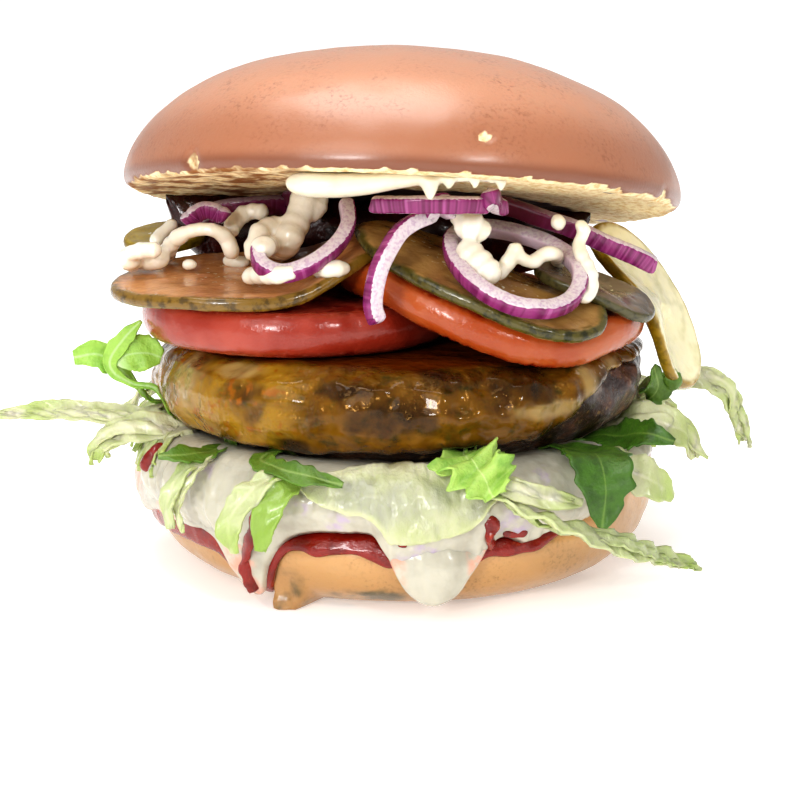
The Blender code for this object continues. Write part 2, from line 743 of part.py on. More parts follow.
# Green leaves: name, path points, widths along the leaf, face direction, wave and curl
LEAVES = [
    ("rocket_leaf_left", [(-34, -13, 0), (-41, -14.5, 28.0), (-48.5, -15.5, 31.4), (-54, -15, 36.0), (-59, -18, 42.5), (-57, -19, 48.0),
                          (-53, -19, 53.0)], [(0, 2.0), (0.35, 2.2), (0.5, 6), (0.62, 12), (0.75, 8), (0.86, 10),
                                              (1, 2.0)], (-0.2, -1, 0.3), 0.5, 0.1),
    ("rocket_leaf_outer", [(-33, -4, 0), (-43, -4, 27.6), (-51.5, -3.5, 31.2), (-57, -9, 37.5), (-63, -13, 42.5), (-68, -15, 44.5)],
     [(0, 2.0), (0.4, 2.2), (0.6, 10), (0.72, 7), (0.86, 10), (1, 2)], (0, -1, 0.3), 0.4, 0.1),
    ("rocket_leaf_low", [(-29, -24, 0), (-34, -31, 29.4), (-38, -38, 29.6), (-43, -43, 30.4), (-47, -44, 30.4)],
     [(0, 2.5), (0.4, 4), (0.75, 5), (1, 1.5)], (-0.6, -1, 0.8), 0.4, 0.1),
    ("rocket_leaf_front", [(-19, -31, 0), (-23, -38.5, 30.2), (-27, -47, 30.6), (-22, -55, 30.6), (-11, -59.5, 29.0)],
     [(0, 2.5), (0.3, 4), (0.6, 6.5), (0.85, 5), (1, 1.5)], (-0.2, -0.7, 1), 0.4, 0.1),
    ("rocket_leaf_dark", [(25, -27, 0), (29.5, -35, 30.2), (34, -43, 31.2), (37, -53, 32.5), (38, -58, 28.0), (37.5, -59, 20.5)],
     [(0, 2.5), (0.35, 5), (0.6, 12), (0.8, 11), (1, 2.5)], (0.3, -1, 0.4), 0.4, 0.12),
    ("rocket_leaf_right", [(30, -20, 0), (38, -27, 30.0), (43, -32, 31.4), (48, -38, 33.4), (53, -39, 32.0)],
     [(0, 2.5), (0.4, 6), (0.7, 8), (1, 2.5)], (0.4, -1, 0.6), 0.4, 0.1),
    ("rocket_leaf_back", [(46.3, -4, 29.0), (50.2, -6, 31.6), (52.8, -9, 36), (51.5, -12, 41)],
     [(0, 2.5), (0.4, 5), (0.7, 8), (1, 2)], (0.3, -1, 0.3), 0.4, 0.1),
    ("frilly_leaf", [(10, -34, 0), (11.5, -43, 30.4), (12, -50, 31.6), (14, -57.5, 32.0), (17, -61, 27.0)],
     [(0, 3), (0.4, 8), (0.6, 14), (0.8, 12), (1, 5)], (0.1, -1, 0.6), 0.9, 0.12),
]


def tuck(points):
    """Put the first point of a leaf into the gap under the patty, unless its height is given."""
    x, y, z = points[0]
    if z > 0:
        return points
    radius = math.hypot(x, y)
    angle = math.degrees(math.atan2(x, -y))
    return [(x, y, patty_under(radius, angle) - 1.25)] + list(points[1:])


def make_leaves(group, supports):
    """Rocket leaves and one frilly leaf, tucked in under the patty and pushed clear of their neighbours."""
    made = []
    for name, points, widths, hint, wave, curl in LEAVES:
        across = 4 if max(width for place, width in widths) > 11 else 2
        made.append(leaf(name, tuck(points), widths, hint, 0.7, wave, "rocket", group, count=9, across=across, curl=curl,
                         around=surface_of(supports + made)))
        carve(made[-1], supports + made[:-1])
    return made


def left_tomato_lift(x, y):
    """Mid height of the left tomato slice."""
    return 46.9 + slope_at(y) + 0.5 * TOMATO_THICKNESS


def right_tomato_lift(x, y):
    """Mid height of the right tomato slice, which bends down over the left one and sags in front."""
    return 50.4 + 9.2 * (1.0 - ease(2, 34, x)) + slope_at(y) - 5.0 * ease(-27, -45, y)


def make_tomatoes(group, cheese):
    """Two thick tomato slices."""
    left = slice_body("tomato_left", (-21, -9.5), (32.0, 32.5), TOMATO_THICKNESS, left_tomato_lift, "tomato",
                      group, steps=28, edge=1.6)
    right = slice_body("tomato_right", (18, -12.5), (31.5, 32.5), 7.3, right_tomato_lift, "tomato", group,
                       steps=26, edge=1.5, inner=(0.12, 0.36, 0.6, 0.8))
    settle(left, [cheese], (0, 0, 1))
    settle(right, [cheese, left], (0, -0.1, 1), clear=GAP + 0.45)
    return left, right


def left_pickle_lift(x, y):
    """Mid height of the left pickle slice, curling up at its right end."""
    return 60.2 + 0.04 * (y + 19) + 6.0 * ease(-24, -3, x) - 1.2 * ease(-40, -58, x)


def middle_pickle_lift(x, y):
    """Mid height of the middle pickle slice, falling to the right and in front."""
    return 68.0 - 13.0 * ease(-4, 34, x) - 4.0 * ease(-26, -44, y)


def hanging_slice(name, centre, along, across, half, thickness, finish, group, steps=20):
    """Slice on a slanted plane given by two directions."""
    body = slice_body(name, (0, 0), half, thickness, lambda x, y: 0.015 * y * y * 0.3, finish, group, steps=steps,
                      edge=0.8, wobble=0.05)
    long = Vector(along).normalized()
    wide = Vector(across)
    wide = (wide - long * wide.dot(long)).normalized()
    face = long.cross(wide)
    turn = Matrix((long, wide, face)).transposed().to_4x4()
    body.data.transform(Matrix.Translation(Vector(centre) * MM) @ turn)
    return body


def make_pickles(group, stack):
    """Five pickle slices with strings of white sauce on the left one."""
    left = slice_body("pickle_left", (-30, -19), (28.5, 22.5), PICKLE_THICKNESS, left_pickle_lift, "pickle", group,
                      steps=26, edge=0.8, turn=4, inner=(0.12, 0.4, 0.68, 0.85))
    settle(left, stack, (0, 0, 1))
    middle = slice_body("pickle_middle", (15, -29), (25.5, 15.5), PICKLE_THICKNESS, middle_pickle_lift, "pickle",
                        group, steps=24, edge=0.8, turn=-20, inner=(0.12, 0.4, 0.7))
    settle(middle, stack + [left], (0, -0.3, 1))
    right = hanging_slice("pickle_right", (50, -3, 51.5), (0.56, 0, -0.83), (0.45, 0.85, 0.3), (20.0, 12.0), 2.5,
                          "pickle", group)
    settle(right, stack + [left, middle], (0.7, -0.4, 0.5))
    low = hanging_slice("pickle_low", (38, -24, 57.0), (0.9, 0.1, -0.35), (0.1, 0.9, 0.3), (13.0, 9.0), 2.2,
                        "pickle", group, steps=14)
    settle(low, stack + [left, middle, right], (0, -0.3, 1))
    back = hanging_slice("pickle_back", (-50, 10, 64.0), (0.9, 0.3, 0.1), (0, 0.9, 0.2), (9.0, 7.0), 2.4,
                         "pickle", group, steps=14)
    settle(back, stack + [left], (-0.2, 0.5, 1))
    return left, middle, right, low, back


def lay_on(points, things, rise):
    """Drop path points onto finished pieces, a little above their tops."""
    trees = surface_of(things)
    laid = []
    last = None
    for x, y, z in points:
        top = None
        for tree in trees:
            hit = tree.ray_cast(Vector((x, y, 140.0)) * MM, Vector((0, 0, -1)))[0]
            if hit is not None and (top is None or hit.z > top):
                top = hit.z
        last = top if top is not None else last
        laid.append((x, y, z if last is None or z > 40 else last / MM + rise + z))
    return laid


# Strings of white sauce on the left pickle slice: x, y and height above the slice, then the radius
DRIZZLE = [
    ([(-36, -15, 0), (-44, -15, 0), (-51, -13.5, 0), (-55, -9, 0), (-53, -3.5, 0), (-46, -3, 1)], 1.6),
    ([(-46, -13, 0), (-46, -12, 5), (-42, -13, 7), (-38.5, -13, 8.2), (-35.5, -13, 7.5), (-34, -14, 3),
      (-34, -15, 0)], 1.8),
    ([(-35, -7, 3), (-33, -8, 9), (-29, -7, 10.5), (-26, -6, 8), (-26, -8, 3), (-27, -10, 0)], 2.0),
    ([(-32, -31, 0), (-27, -31.5, 0), (-20, -30, 0.3)], 1.8),
    ([(-17, -30, 0.2), (-10.5, -29, 0.2)], 1.7),
    ([(-21, -11, 10.0), (-22, -16, 9), (-24, -21, 5), (-23, -26, 2.5), (-18, -28, 1)], 3.2),
]


def make_drizzle(group, pickle):
    """Fuse the strings of sauce to the left pickle slice."""
    extras = []
    for k, (points, radius) in enumerate(DRIZZLE):
        extras.append(rope("drizzle_%d" % k, lay_on(points, [pickle], 0.7), radius, "mayo", group,
                           count=len(points) + 2, sides=5))
    fuse(pickle, extras)


# Curved onion pieces: name, path points, wall direction, wall width and thickness
ONIONS = [
    ("onion_left", [(-11, -24, 77.0), (-10.5, -29, 73.0), (-13, -34, 69.5), (-18, -38, 66.5), (-23, -38.5, 65.2),
                    (-27, -37, 66.6), (-28, -33, 69.6)], (0, -0.45, 0.9), 3.6, 2.6),
    ("onion_small", [(-43, -9, 66), (-39.5, -8, 68), (-35.5, -9, 67)], (0, -0.35, 0.9), 3.4, 2.2),
    ("onion_strip", [(10, -33, 76.5), (4.4, -37, 75.8), (0.0, -41, 74.0), (-2.7, -44, 70.5), (-4.6, -46, 66.5),
                     (-5.5, -47, 61.0), (-4.5, -47, 57.0)], (0.75, -0.1, 0.3), 4.6, 2.6),
    ("onion_top", [(-6, -38, 78.4), (1.5, -42, 79.0), (9, -42.5, 79.0), (15, -40, 78.6), (20, -35, 77.4)],
     (0, -0.2, 1.0), 3.2, 2.4),
    ("onion_right", [(17, -21, 75.5), (24, -22, 74.4), (31, -22, 72.0), (39, -21, 68.6), (46.3, -19, 65.3),
                     (51.0, -17, 62.6)], (0, -0.35, 0.9), 3.6, 2.4),
    ("onion_back", [(-45, 2, 68.0), (-38, -1, 71.5), (-31, -2, 72.6), (-24, -1, 72.8), (-18, 2, 72.0)],
     (0, -0.35, 0.9), 4.0, 2.4),
]
RING = [(9.5, -27, 67.5), (10.4, -34, 63.0), (15, -41, 59.5), (22.5, -44, 57.8), (30, -42, 58.8),
        (34.2, -35, 61.5), (33.5, -27, 65.0), (28, -20, 68.0), (20, -17.5, 70.0), (13, -20, 70.0)]
# Sauce on the closed ring: x, y and either height above the ring or a height over 40 from the board
RING_SAUCE = [
    ([(11.0, -27, 0.6), (12, -23, 1.6), (15.5, -20, 0.6)], 3.0),
    ([(11.5, -33, 0.4), (14, -38, 0.5), (18, -41, 0.2)], 2.8),
]


def make_onions(group, stack):
    """Curved slices of red onion and one closed ring with knobs of sauce."""
    ring = band("onion_ring", RING, (0.05, -0.5, 0.87), 3.6, 2.6, "onion", group, count=24, closed=True)
    settle(ring, stack, (0, -0.75, 0.65))
    knobs = []
    for k, (points, radius) in enumerate(RING_SAUCE):
        knobs.append(rope("knob_%d" % k, lay_on(points, [ring], 0.2), radius, "mayo", group, count=5, sides=6,
                          flat=0.6))
    fuse(ring, knobs)
    made = [ring]
    for name, points, axis, wide, thick in ONIONS:
        piece = band(name, points, axis, wide, thick, "onion", group, count=12, taper=0.9)
        settle(piece, stack + made, (0, -0.75, 0.65))
        made.append(piece)
    return made


# Top bun from its cut face over the rim to the top: share of the radius and height
CROWN_PROFILE = [(0.1, 0.6), (0.5, 0.5), (0.86, 0.0), (0.965, -0.3), (0.995, 0.7), (1.0, 3.0), (0.985, 6.5),
                 (0.945, 11.0), (0.875, 15.6), (0.775, 20.2), (0.63, 24.4), (0.45, 27.6), (0.24, 29.6),
                 (0.07, 30.2)]


def make_crown(group):
    """Domed top bun, leaning back, with a torn edge of crumb."""
    rings = []
    for share, height in CROWN_PROFILE:
        radius = share * CROWN_RADIUS
        ring = []
        for angle in round_angles():
            size = 1.0 + 0.012 * rough(math.sin(math.radians(angle)) * 2, math.cos(math.radians(angle)) * 2, 1, 1.1)
            torn = 0.5 * rough(radius / 8, angle / 9, 5.0, 1.0) if height < 1.0 and radius > 30 else 0.0
            ring.append(polar(radius * size, angle, height + torn))
        rings.append(ring)
    crown = loft("crown", rings, "crust", group)
    lean = Matrix.Rotation(math.radians(CROWN_ROLL), 4, "Y") @ Matrix.Rotation(math.radians(CROWN_TILT), 4, "X")
    crown.data.transform(Matrix.Translation(Vector(CROWN_CENTRE) * MM) @ lean)
    return crown


def crown_plane(x, y):
    """Height of the top bun's cut face."""
    return CROWN_CENTRE[2] + y * math.tan(math.radians(CROWN_TILT)) - x * math.tan(math.radians(CROWN_ROLL))


def make_crown_mayo(group, stack):
    """Squeezed band of white sauce under the top bun."""
    path = [(-24, -45.0, 0), (-16, -47, 0), (-8, -48, 0), (0, -48, 0), (8, -46.5, 0), (15, -43, 0)]
    points = [(x, y, crown_plane(x, y) - 2.6) for x, y, z in path]
    return rope("mayo_crown", points, 2.1, "mayo", group, count=16, sides=8, flat=0.85)


def build():
    """Make every piece of the burger."""
    clear_scene()
    group = make_collection("burger")
    bottom = [make_heel(group), make_ketchup(group), make_mayo(group)]
    middle = [make_patty(group), make_cheese(group)]
    tomatoes = list(make_tomatoes(group, middle[1]))
    salad = make_salad(group, bottom + middle)
    pickles = list(make_pickles(group, tomatoes))
    make_drizzle(group, pickles[0])
    make_leaves(group, bottom + middle + tomatoes + pickles + [salad])
    onions = make_onions(group, tomatoes + pickles)
    make_crown_mayo(group, tomatoes + pickles + onions)
    make_crown(group)


build()
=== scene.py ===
# %% [markdown]
# # A tall burger in soft daylight
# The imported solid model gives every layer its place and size. This lesson dresses each layer
# with finer shapes and with finishes mixed from nodes, from the bottom bun up to the top bun.
# Lengths are written in millimetres and are scaled to Blender's metres when a mesh is made.

import math
import random

import bmesh
import bpy
from mathutils import Matrix, Vector, noise
from mathutils.bvhtree import BVHTree


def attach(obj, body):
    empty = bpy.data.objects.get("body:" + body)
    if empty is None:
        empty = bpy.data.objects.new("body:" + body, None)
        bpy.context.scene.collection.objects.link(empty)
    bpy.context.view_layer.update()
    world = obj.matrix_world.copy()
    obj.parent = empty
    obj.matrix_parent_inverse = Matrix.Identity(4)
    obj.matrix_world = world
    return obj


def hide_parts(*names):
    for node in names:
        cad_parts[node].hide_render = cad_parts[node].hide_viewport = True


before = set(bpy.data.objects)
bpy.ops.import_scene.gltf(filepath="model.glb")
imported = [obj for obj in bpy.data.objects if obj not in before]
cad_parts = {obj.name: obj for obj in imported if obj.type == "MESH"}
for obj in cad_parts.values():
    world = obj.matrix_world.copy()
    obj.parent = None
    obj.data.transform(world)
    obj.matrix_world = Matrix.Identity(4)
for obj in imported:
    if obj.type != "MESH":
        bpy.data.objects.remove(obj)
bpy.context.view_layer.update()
MM = 0.001
FINE = 1.0

# %% [markdown]
# ## The camera
# The picture was taken from a little above the burger with a long lens. A long lens keeps the
# rims of the slices flat and close together. The camera comes first, because a few strings of
# sauce are laid along the lines of sight on which the picture shows them.

# %% Place the camera
CAMERA_PLACE = Vector((0.0, -478.0, 145.0))
CAMERA_PITCH = 13.4
CAMERA_LENS = 104.85
CAMERA_SHIFT = -0.0025
PICTURE_SIDE = 800
SENSOR_SIDE = 36.0


def make_camera():
    """Camera at the picture's own height, tilt and focal length."""
    data = bpy.data.cameras.new("picture camera")
    data.lens = CAMERA_LENS
    data.sensor_width = SENSOR_SIDE
    data.shift_x = CAMERA_SHIFT
    camera = bpy.data.objects.new("picture camera", data)
    camera.location = CAMERA_PLACE * MM
    camera.rotation_euler = (math.radians(90.0 - CAMERA_PITCH), 0.0, 0.0)
    bpy.context.scene.collection.objects.link(camera)
    bpy.context.scene.camera = camera


def sight(column, row):
    """Direction from the camera through a place in the picture."""
    reach = PICTURE_SIDE * CAMERA_LENS / SENSOR_SIDE
    middle = PICTURE_SIDE / 2
    right = (column - middle + CAMERA_SHIFT * PICTURE_SIDE) / reach
    up = (middle - row) / reach
    tilt = math.radians(CAMERA_PITCH)
    return Vector((right, math.cos(tilt) + up * math.sin(tilt), up * math.cos(tilt) - math.sin(tilt)))


def seen(column, row, depth):
    """Point on a line of sight at a depth behind or before the burger's middle."""
    line = sight(column, row)
    return CAMERA_PLACE + line * ((depth - CAMERA_PLACE.y) / line.y)


make_camera()
print("camera at", [round(x) for x in CAMERA_PLACE], "looking down", CAMERA_PITCH, "degrees")

# %% [markdown]
# ## Ramps, noise and curves
# Food has no straight edges. A handful of small functions gives soft ramps, tables that are
# read smoothly, random lumps of a known size, and curves through a few points.

# %% Ramps, noise and curves


def ease(low, high, value):
    """Smooth ramp from 0 at low to 1 at high."""
    share = min(1.0, max(0.0, (value - low) / (high - low)))
    return share * share * (3.0 - 2.0 * share)


def between(table, place):
    """Straight interpolation in a list of (place, value) pairs."""
    if place <= table[0][0]:
        return table[0][1]
    for (a, low), (b, high) in zip(table, table[1:]):
        if place <= b:
            return low + (high - low) * (place - a) / (b - a)
    return table[-1][1]


def soft(table, place):
    """Smooth interpolation through a list of (place, value) pairs."""
    place = min(table[-1][0], max(table[0][0], place))
    k = 0
    while k < len(table) - 2 and place > table[k + 1][0]:
        k += 1
    (a, low), (b, high) = table[k], table[k + 1]
    before = table[max(k - 1, 0)]
    after = table[min(k + 2, len(table) - 1)]
    span = b - a
    rise_in = (high - before[1]) / max(b - before[0], 1e-6) * span
    rise_out = (after[1] - low) / max(after[0] - a, 1e-6) * span
    t = (place - a) / span
    return (low * (2 * t ** 3 - 3 * t * t + 1) + rise_in * (t ** 3 - 2 * t * t + t)
            + high * (3 * t * t - 2 * t ** 3) + rise_out * (t ** 3 - t * t))


def rough(x, y, z, size):
    """Smooth noise between about -1 and 1 with bumps of the given size."""
    return noise.noise(Vector((x / size, y / size, z / size)))


def grain(point, size, octaves=3):
    """Noise with finer and finer lumps on top of each other."""
    total = 0.0
    for k in range(octaves):
        total += rough(point.x + 31.0 * k, point.y, point.z, size / 2 ** k) / 2 ** k
    return total


def polar(radius, angle, height):
    """Point at an angle counted from the front towards +X."""
    turn = math.radians(angle)
    return Vector((radius * math.sin(turn), -radius * math.cos(turn), height))


def reaches(path):
    """How far along a path each of its points lies."""
    reach = [0.0]
    for p, q in zip(path, path[1:]):
        reach.append(reach[-1] + (q - p).length)
    return reach


def smooth_path(points, count):
    """Even samples of a smooth curve through the given points."""
    marks = [Vector(point) for point in points]
    ends = [2 * marks[0] - marks[1]] + marks + [2 * marks[-1] - marks[-2]]
    fine = []
    for k in range(len(marks) - 1):
        a, b, c, d = ends[k:k + 4]
        for step in range(12):
            t = step / 12
            fine.append(0.5 * (2 * b + (c - a) * t + (2 * a - 5 * b + 4 * c - d) * t * t
                               + (3 * b - 3 * c + d - a) * t ** 3))
    fine.append(marks[-1])
    reach = reaches(fine)
    samples = []
    k = 0
    for step in range(count):
        goal = reach[-1] * step / (count - 1)
        while k < len(fine) - 2 and reach[k + 1] < goal:
            k += 1
        span = max(reach[k + 1] - reach[k], 1e-6)
        samples.append(fine[k].lerp(fine[k + 1], min(1.0, (goal - reach[k]) / span)))
    return samples


def heading(path, k):
    """Direction of a path at one of its points."""
    return (path[min(k + 1, len(path) - 1)] - path[max(k - 1, 0)]).normalized()


def quarter(share):
    """Quarter circle: steep from 0 at first, level where it reaches 1."""
    return math.sqrt(max(0.0, 1.0 - (1.0 - share) ** 2))


def steps(count):
    """A count of mesh steps, scaled by the detail setting."""
    return max(6, int(count * FINE))


print("helpers ready, detail", FINE)

# %% [markdown]
# ## Meshes from rings
# A bun, a patty or a slice is a stack of rings. Joining the rings gives a closed mesh whose
# every point is known by ring and by direction, so marks such as "this is crumb" or "this is
# skin" can be kept on the points for the materials to read. Sculpting would lose those marks.

# %% Meshes from rings


def raw_mesh(name, points, faces, marks=None):
    """Mesh in metres from points in millimetres, with a number kept on each point for each mark."""
    mesh = bpy.data.meshes.new(name)
    mesh.from_pydata([point * MM for point in points], [], faces)
    for mark, values in (marks or {}).items():
        layer = mesh.attributes.new(mark, "FLOAT", "POINT")
        layer.data.foreach_set("value", values)
    work = bmesh.new()
    work.from_mesh(mesh)
    bmesh.ops.recalc_face_normals(work, faces=work.faces)
    work.to_mesh(mesh)
    work.free()
    mesh.polygons.foreach_set("use_smooth", [True] * len(mesh.polygons))
    return mesh


def ring_mesh(name, rings, marks=None, closed=False):
    """Closed mesh from rings of equal length, capped at both ends or closed on itself."""
    count = len(rings[0])
    points = [point for ring in rings for point in ring]
    faces = []
    rows = len(rings)
    for k in range(rows if closed else rows - 1):
        near = k * count
        far = ((k + 1) % rows) * count
        for i in range(count):
            j = (i + 1) % count
            faces.append((near + i, near + j, far + j, far + i))
    if not closed:
        faces.append(tuple(reversed(range(count))))
        faces.append(tuple(range((rows - 1) * count, rows * count)))
    flat = {}
    for mark, values in (marks or {}).items():
        flat[mark] = [value for ring in values for value in ring]
    return raw_mesh(name, points, faces, flat)


def woven(name, rows, columns, spot, names=(), closed=False):
    """Closed mesh whose points, each with its marks in the named order, come from one function."""
    rings = []
    marks = {mark: [] for mark in names}
    for row in rows:
        found = [spot(row, column) for column in columns]
        rings.append([values[0] for values in found])
        for k, mark in enumerate(names, 1):
            marks[mark].append([values[k] for values in found])
    return ring_mesh(name, rings, marks, closed)


def oval(centre, wide, tall, sides):
    """Ring of points round a centre, given by its two half axes."""
    turns = [2 * math.pi * i / sides for i in range(sides)]
    return [centre + wide * math.cos(turn) + tall * math.sin(turn) for turn in turns]


def place(name, mesh):
    """Put a mesh into the scene as an object of its own."""
    thing = bpy.data.objects.new(name, mesh)
    bpy.context.scene.collection.objects.link(thing)
    return thing


def settle_modifiers(thing):
    """Replace the mesh by what its modifiers make of it."""
    graph = bpy.context.evaluated_depsgraph_get()
    graph.update()
    made = bpy.data.meshes.new_from_object(thing.evaluated_get(graph))
    thing.modifiers.clear()
    thing.data = made
    made.polygons.foreach_set("use_smooth", [True] * len(made.polygons))


def joined(name, meshes):
    """One mesh that holds several closed ones."""
    work = bmesh.new()
    for mesh in meshes:
        work.from_mesh(mesh)
    whole = bpy.data.meshes.new(name)
    work.to_mesh(whole)
    work.free()
    whole.polygons.foreach_set("use_smooth", [True] * len(whole.polygons))
    return whole


def melt(name, meshes, voxel, rounds):
    """Flow several closed meshes into one soft body."""
    thing = place(name, joined(name, meshes))
    remesh = thing.modifiers.new("one skin", "REMESH")
    remesh.mode = "VOXEL"
    remesh.voxel_size = voxel * MM / math.sqrt(FINE)
    settle = thing.modifiers.new("surface tension", "SMOOTH")
    settle.factor = 0.5
    settle.iterations = rounds
    settle_modifiers(thing)
    return thing


def dress(thing, cover, slot, *nodes):
    """Give a piece its material and its body and hide the solids that it stands for; the slot is not used."""
    thing.data.materials.clear()
    thing.data.materials.append(cover)
    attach(thing, "root")
    if nodes:
        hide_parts(*nodes)
    low = [min(v.co[k] for v in thing.data.vertices) / MM for k in range(3)]
    high = [max(v.co[k] for v in thing.data.vertices) / MM for k in range(3)]
    print(thing.name, len(thing.data.vertices), "points", [round(x, 1) for x in low + high])
    return thing


def tree_of(*names):
    """Search trees of the solid model's nodes, in metres."""
    trees = []
    for name in names:
        work = bmesh.new()
        work.from_mesh(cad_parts[name].data)
        trees.append(BVHTree.FromBMesh(work))
        work.free()
    return trees


def tree_in(mesh):
    """Search tree of a mesh made here, in metres."""
    work = bmesh.new()
    work.from_mesh(mesh)
    tree = BVHTree.FromBMesh(work)
    work.free()
    return tree


def first_hit(trees, start, way):
    """Nearest point that a ray meets, in millimetres, or None."""
    best = None
    for tree in trees:
        hit = tree.ray_cast(start * MM, way)[0]
        if hit is not None and (best is None or (hit / MM - start).length < (best - start).length):
            best = hit / MM
    return best


print("mesh tools ready")

# %% [markdown]
# ## Colours, patterns and one helper for nodes
# Colours are read as sRGB hex values, as a paint chart gives them, and one function
# turns them to the linear values that a renderer adds up. One helper adds a node with its
# settings and its links. Patterns are sized in millimetres of food, so a pore of half a
# millimetre stays that size on every piece.

# %% Colours, patterns and one helper for nodes


def linear(code):
    """Linear colour with full alpha from an sRGB hex code."""
    parts = [int(code[k:k + 2], 16) / 255 for k in (1, 3, 5)]
    bent = [p / 12.92 if p <= 0.04045 else ((p + 0.055) / 1.055) ** 2.4 for p in parts]
    return (*bent, 1.0)


def add(tree, kind, inputs=None, **settings):
    """Add one node, set its options, and fill its sockets with values or links."""
    node = tree.nodes.new(kind)
    for option, value in settings.items():
        setattr(node, option, value)
    for socket, value in (inputs or {}).items():
        if isinstance(value, bpy.types.NodeSocket):
            tree.links.new(value, node.inputs[socket])
        else:
            node.inputs[socket].default_value = value
    return node


def finish(name, **sockets):
    """New material whose shader has the given plain values on its own sockets."""
    material = bpy.data.materials.new(name)
    material.use_nodes = True
    shader = material.node_tree.nodes["Principled BSDF"]
    for socket, value in sockets.items():
        shader.inputs[socket.replace("_", " ")].default_value = value
    return material, material.node_tree, shader


def patches(tree, size, low, high, detail=3.0, shift=0.0, stretch=(1.0, 1.0, 1.0)):
    """Random patches of about the given size in millimetres, from 0 to 1."""
    spot = add(tree, "ShaderNodeTexCoord")
    moved = add(tree, "ShaderNodeMapping", {"Vector": spot.outputs["Object"], "Scale": stretch,
                                            "Location": (shift, 0.7 * shift, -shift)})
    field = add(tree, "ShaderNodeTexNoise", {"Vector": moved.outputs["Vector"], "Scale": 1.0 / (size * MM),
                                             "Detail": detail, "Roughness": 0.55})
    ramp = add(tree, "ShaderNodeMapRange", {"Value": field.outputs["Fac"], "From Min": low, "From Max": high},
               interpolation_type="SMOOTHSTEP")
    return ramp.outputs["Result"]


def marked(tree, mark, low=0.0, high=1.0):
    """Mask from the numbers kept on the mesh's points."""
    kept = add(tree, "ShaderNodeAttribute", attribute_name=mark)
    ramp = add(tree, "ShaderNodeMapRange", {"Value": kept.outputs["Fac"], "From Min": low, "From Max": high},
               interpolation_type="SMOOTHSTEP")
    return ramp.outputs["Result"]


def both(tree, first, second):
    """Mask that is strong where two masks are."""
    return add(tree, "ShaderNodeMath", {0: first, 1: second}, operation="MULTIPLY").outputs["Value"]


def painted(tree, base, *coats):
    """Lay coats of colour over a base, each as strongly as its mask says."""
    colour = linear(base)
    for mask, coat in coats:
        layer = add(tree, "ShaderNodeMix", {0: mask, 6: colour, 7: linear(coat)}, data_type="RGBA")
        colour = layer.outputs[2]
    return colour


def tinted(tree, shader, base, *coats):
    """Give the shader the colour of a base under its coats."""
    tree.links.new(painted(tree, base, *coats), shader.inputs["Base Color"])


def relief(tree, shader, height, depth, strength=1.0):
    """Fine bumps of a depth in millimetres, on top of any that are there."""
    node = add(tree, "ShaderNodeBump", {"Height": height, "Distance": depth * MM, "Strength": strength})
    if shader.inputs["Normal"].is_linked:
        tree.links.new(shader.inputs["Normal"].links[0].from_socket, node.inputs["Normal"])
    tree.links.new(node.outputs["Normal"], shader.inputs["Normal"])


def varied(tree, shader, socket, mask, low, high):
    """Let a mask move one of the shader's numbers between two values."""
    ramp = add(tree, "ShaderNodeMapRange", {"Value": mask, "To Min": low, "To Max": high})
    tree.links.new(ramp.outputs["Result"], shader.inputs[socket])


print("blue of a test chip:", [round(x, 3) for x in linear("#336699")])

# %% [markdown]
# ## Light and floor
# The picture was lit softly from the front against a white background. A white world fills
# the shadows, and a wide soft sun from the front left reaches under the bun. Three smaller
# panels put highlights on the crust and on the wet layers. The floor is a plain sheet of lit
# white acrylic, as on a product table, which also lightens the underside of the layers.

# %% Light and floor
FLOOR_SIDE = 14.0
WORLD_STRENGTH = 0.5
KEY_WAY = (-0.4, -0.8, 0.62)
KEY_STRENGTH = 0.75
KEY_WIDTH = 40.0
# Name, place in metres, size in metres and power in watts
PANELS = [
    ("top panel", (-0.06, 0.0, 0.62), 0.4, 2.3),
    ("front left panel", (-0.3, -0.7, 0.26), 0.12, 1.7),
    ("front right panel", (0.4, -0.65, 0.4), 0.09, 1.1),
]


def make_lamp(name, kind, way, **settings):
    """Lamp that shines from a place or a direction towards the burger."""
    data = bpy.data.lights.new(name, kind)
    for setting, value in settings.items():
        setattr(data, setting, value)
    lamp = bpy.data.objects.new(name, data)
    lamp.location = way
    lamp.rotation_mode = "QUATERNION"
    lamp.rotation_quaternion = (Vector(way) - Vector((0, 0, 0.05))).to_track_quat("Z", "Y")
    bpy.context.scene.collection.objects.link(lamp)


def make_light():
    """White world, soft sun and panels."""
    world = bpy.data.worlds.new("white room")
    world.use_nodes = True
    sky = world.node_tree.nodes["Background"]
    sky.inputs["Color"].default_value = linear("#ffffff")
    sky.inputs["Strength"].default_value = WORLD_STRENGTH
    bpy.context.scene.world = world
    make_lamp("soft sun", "SUN", KEY_WAY, energy=KEY_STRENGTH, angle=math.radians(KEY_WIDTH))
    for name, spot, size, power in PANELS:
        make_lamp(name, "AREA", spot, size=size, energy=power)


def make_floor():
    """Plain pale floor under the burger."""
    half = FLOOR_SIDE / 2
    corners = [Vector((x * half, y * half, 0.0)) / MM for x, y in ((-1, -1), (1, -1), (1, 1), (-1, 1))]
    thing = place("floor", raw_mesh("floor", corners, [(0, 1, 2, 3)]))
    cover, tree, shader = finish("lit white acrylic sheet", Roughness=0.7, Emission_Strength=0.3,
                                 Emission_Color=linear("#ffffff"))
    tinted(tree, shader, "#fdfcfb", (patches(tree, 60, 0.3, 0.7), "#fbfaf8"))
    thing.data.materials.append(cover)


make_light()
make_floor()
bpy.context.scene.view_settings.view_transform = "Standard"
bpy.context.scene.view_settings.look = "Medium High Contrast"
print("panels:", [panel[0] for panel in PANELS])
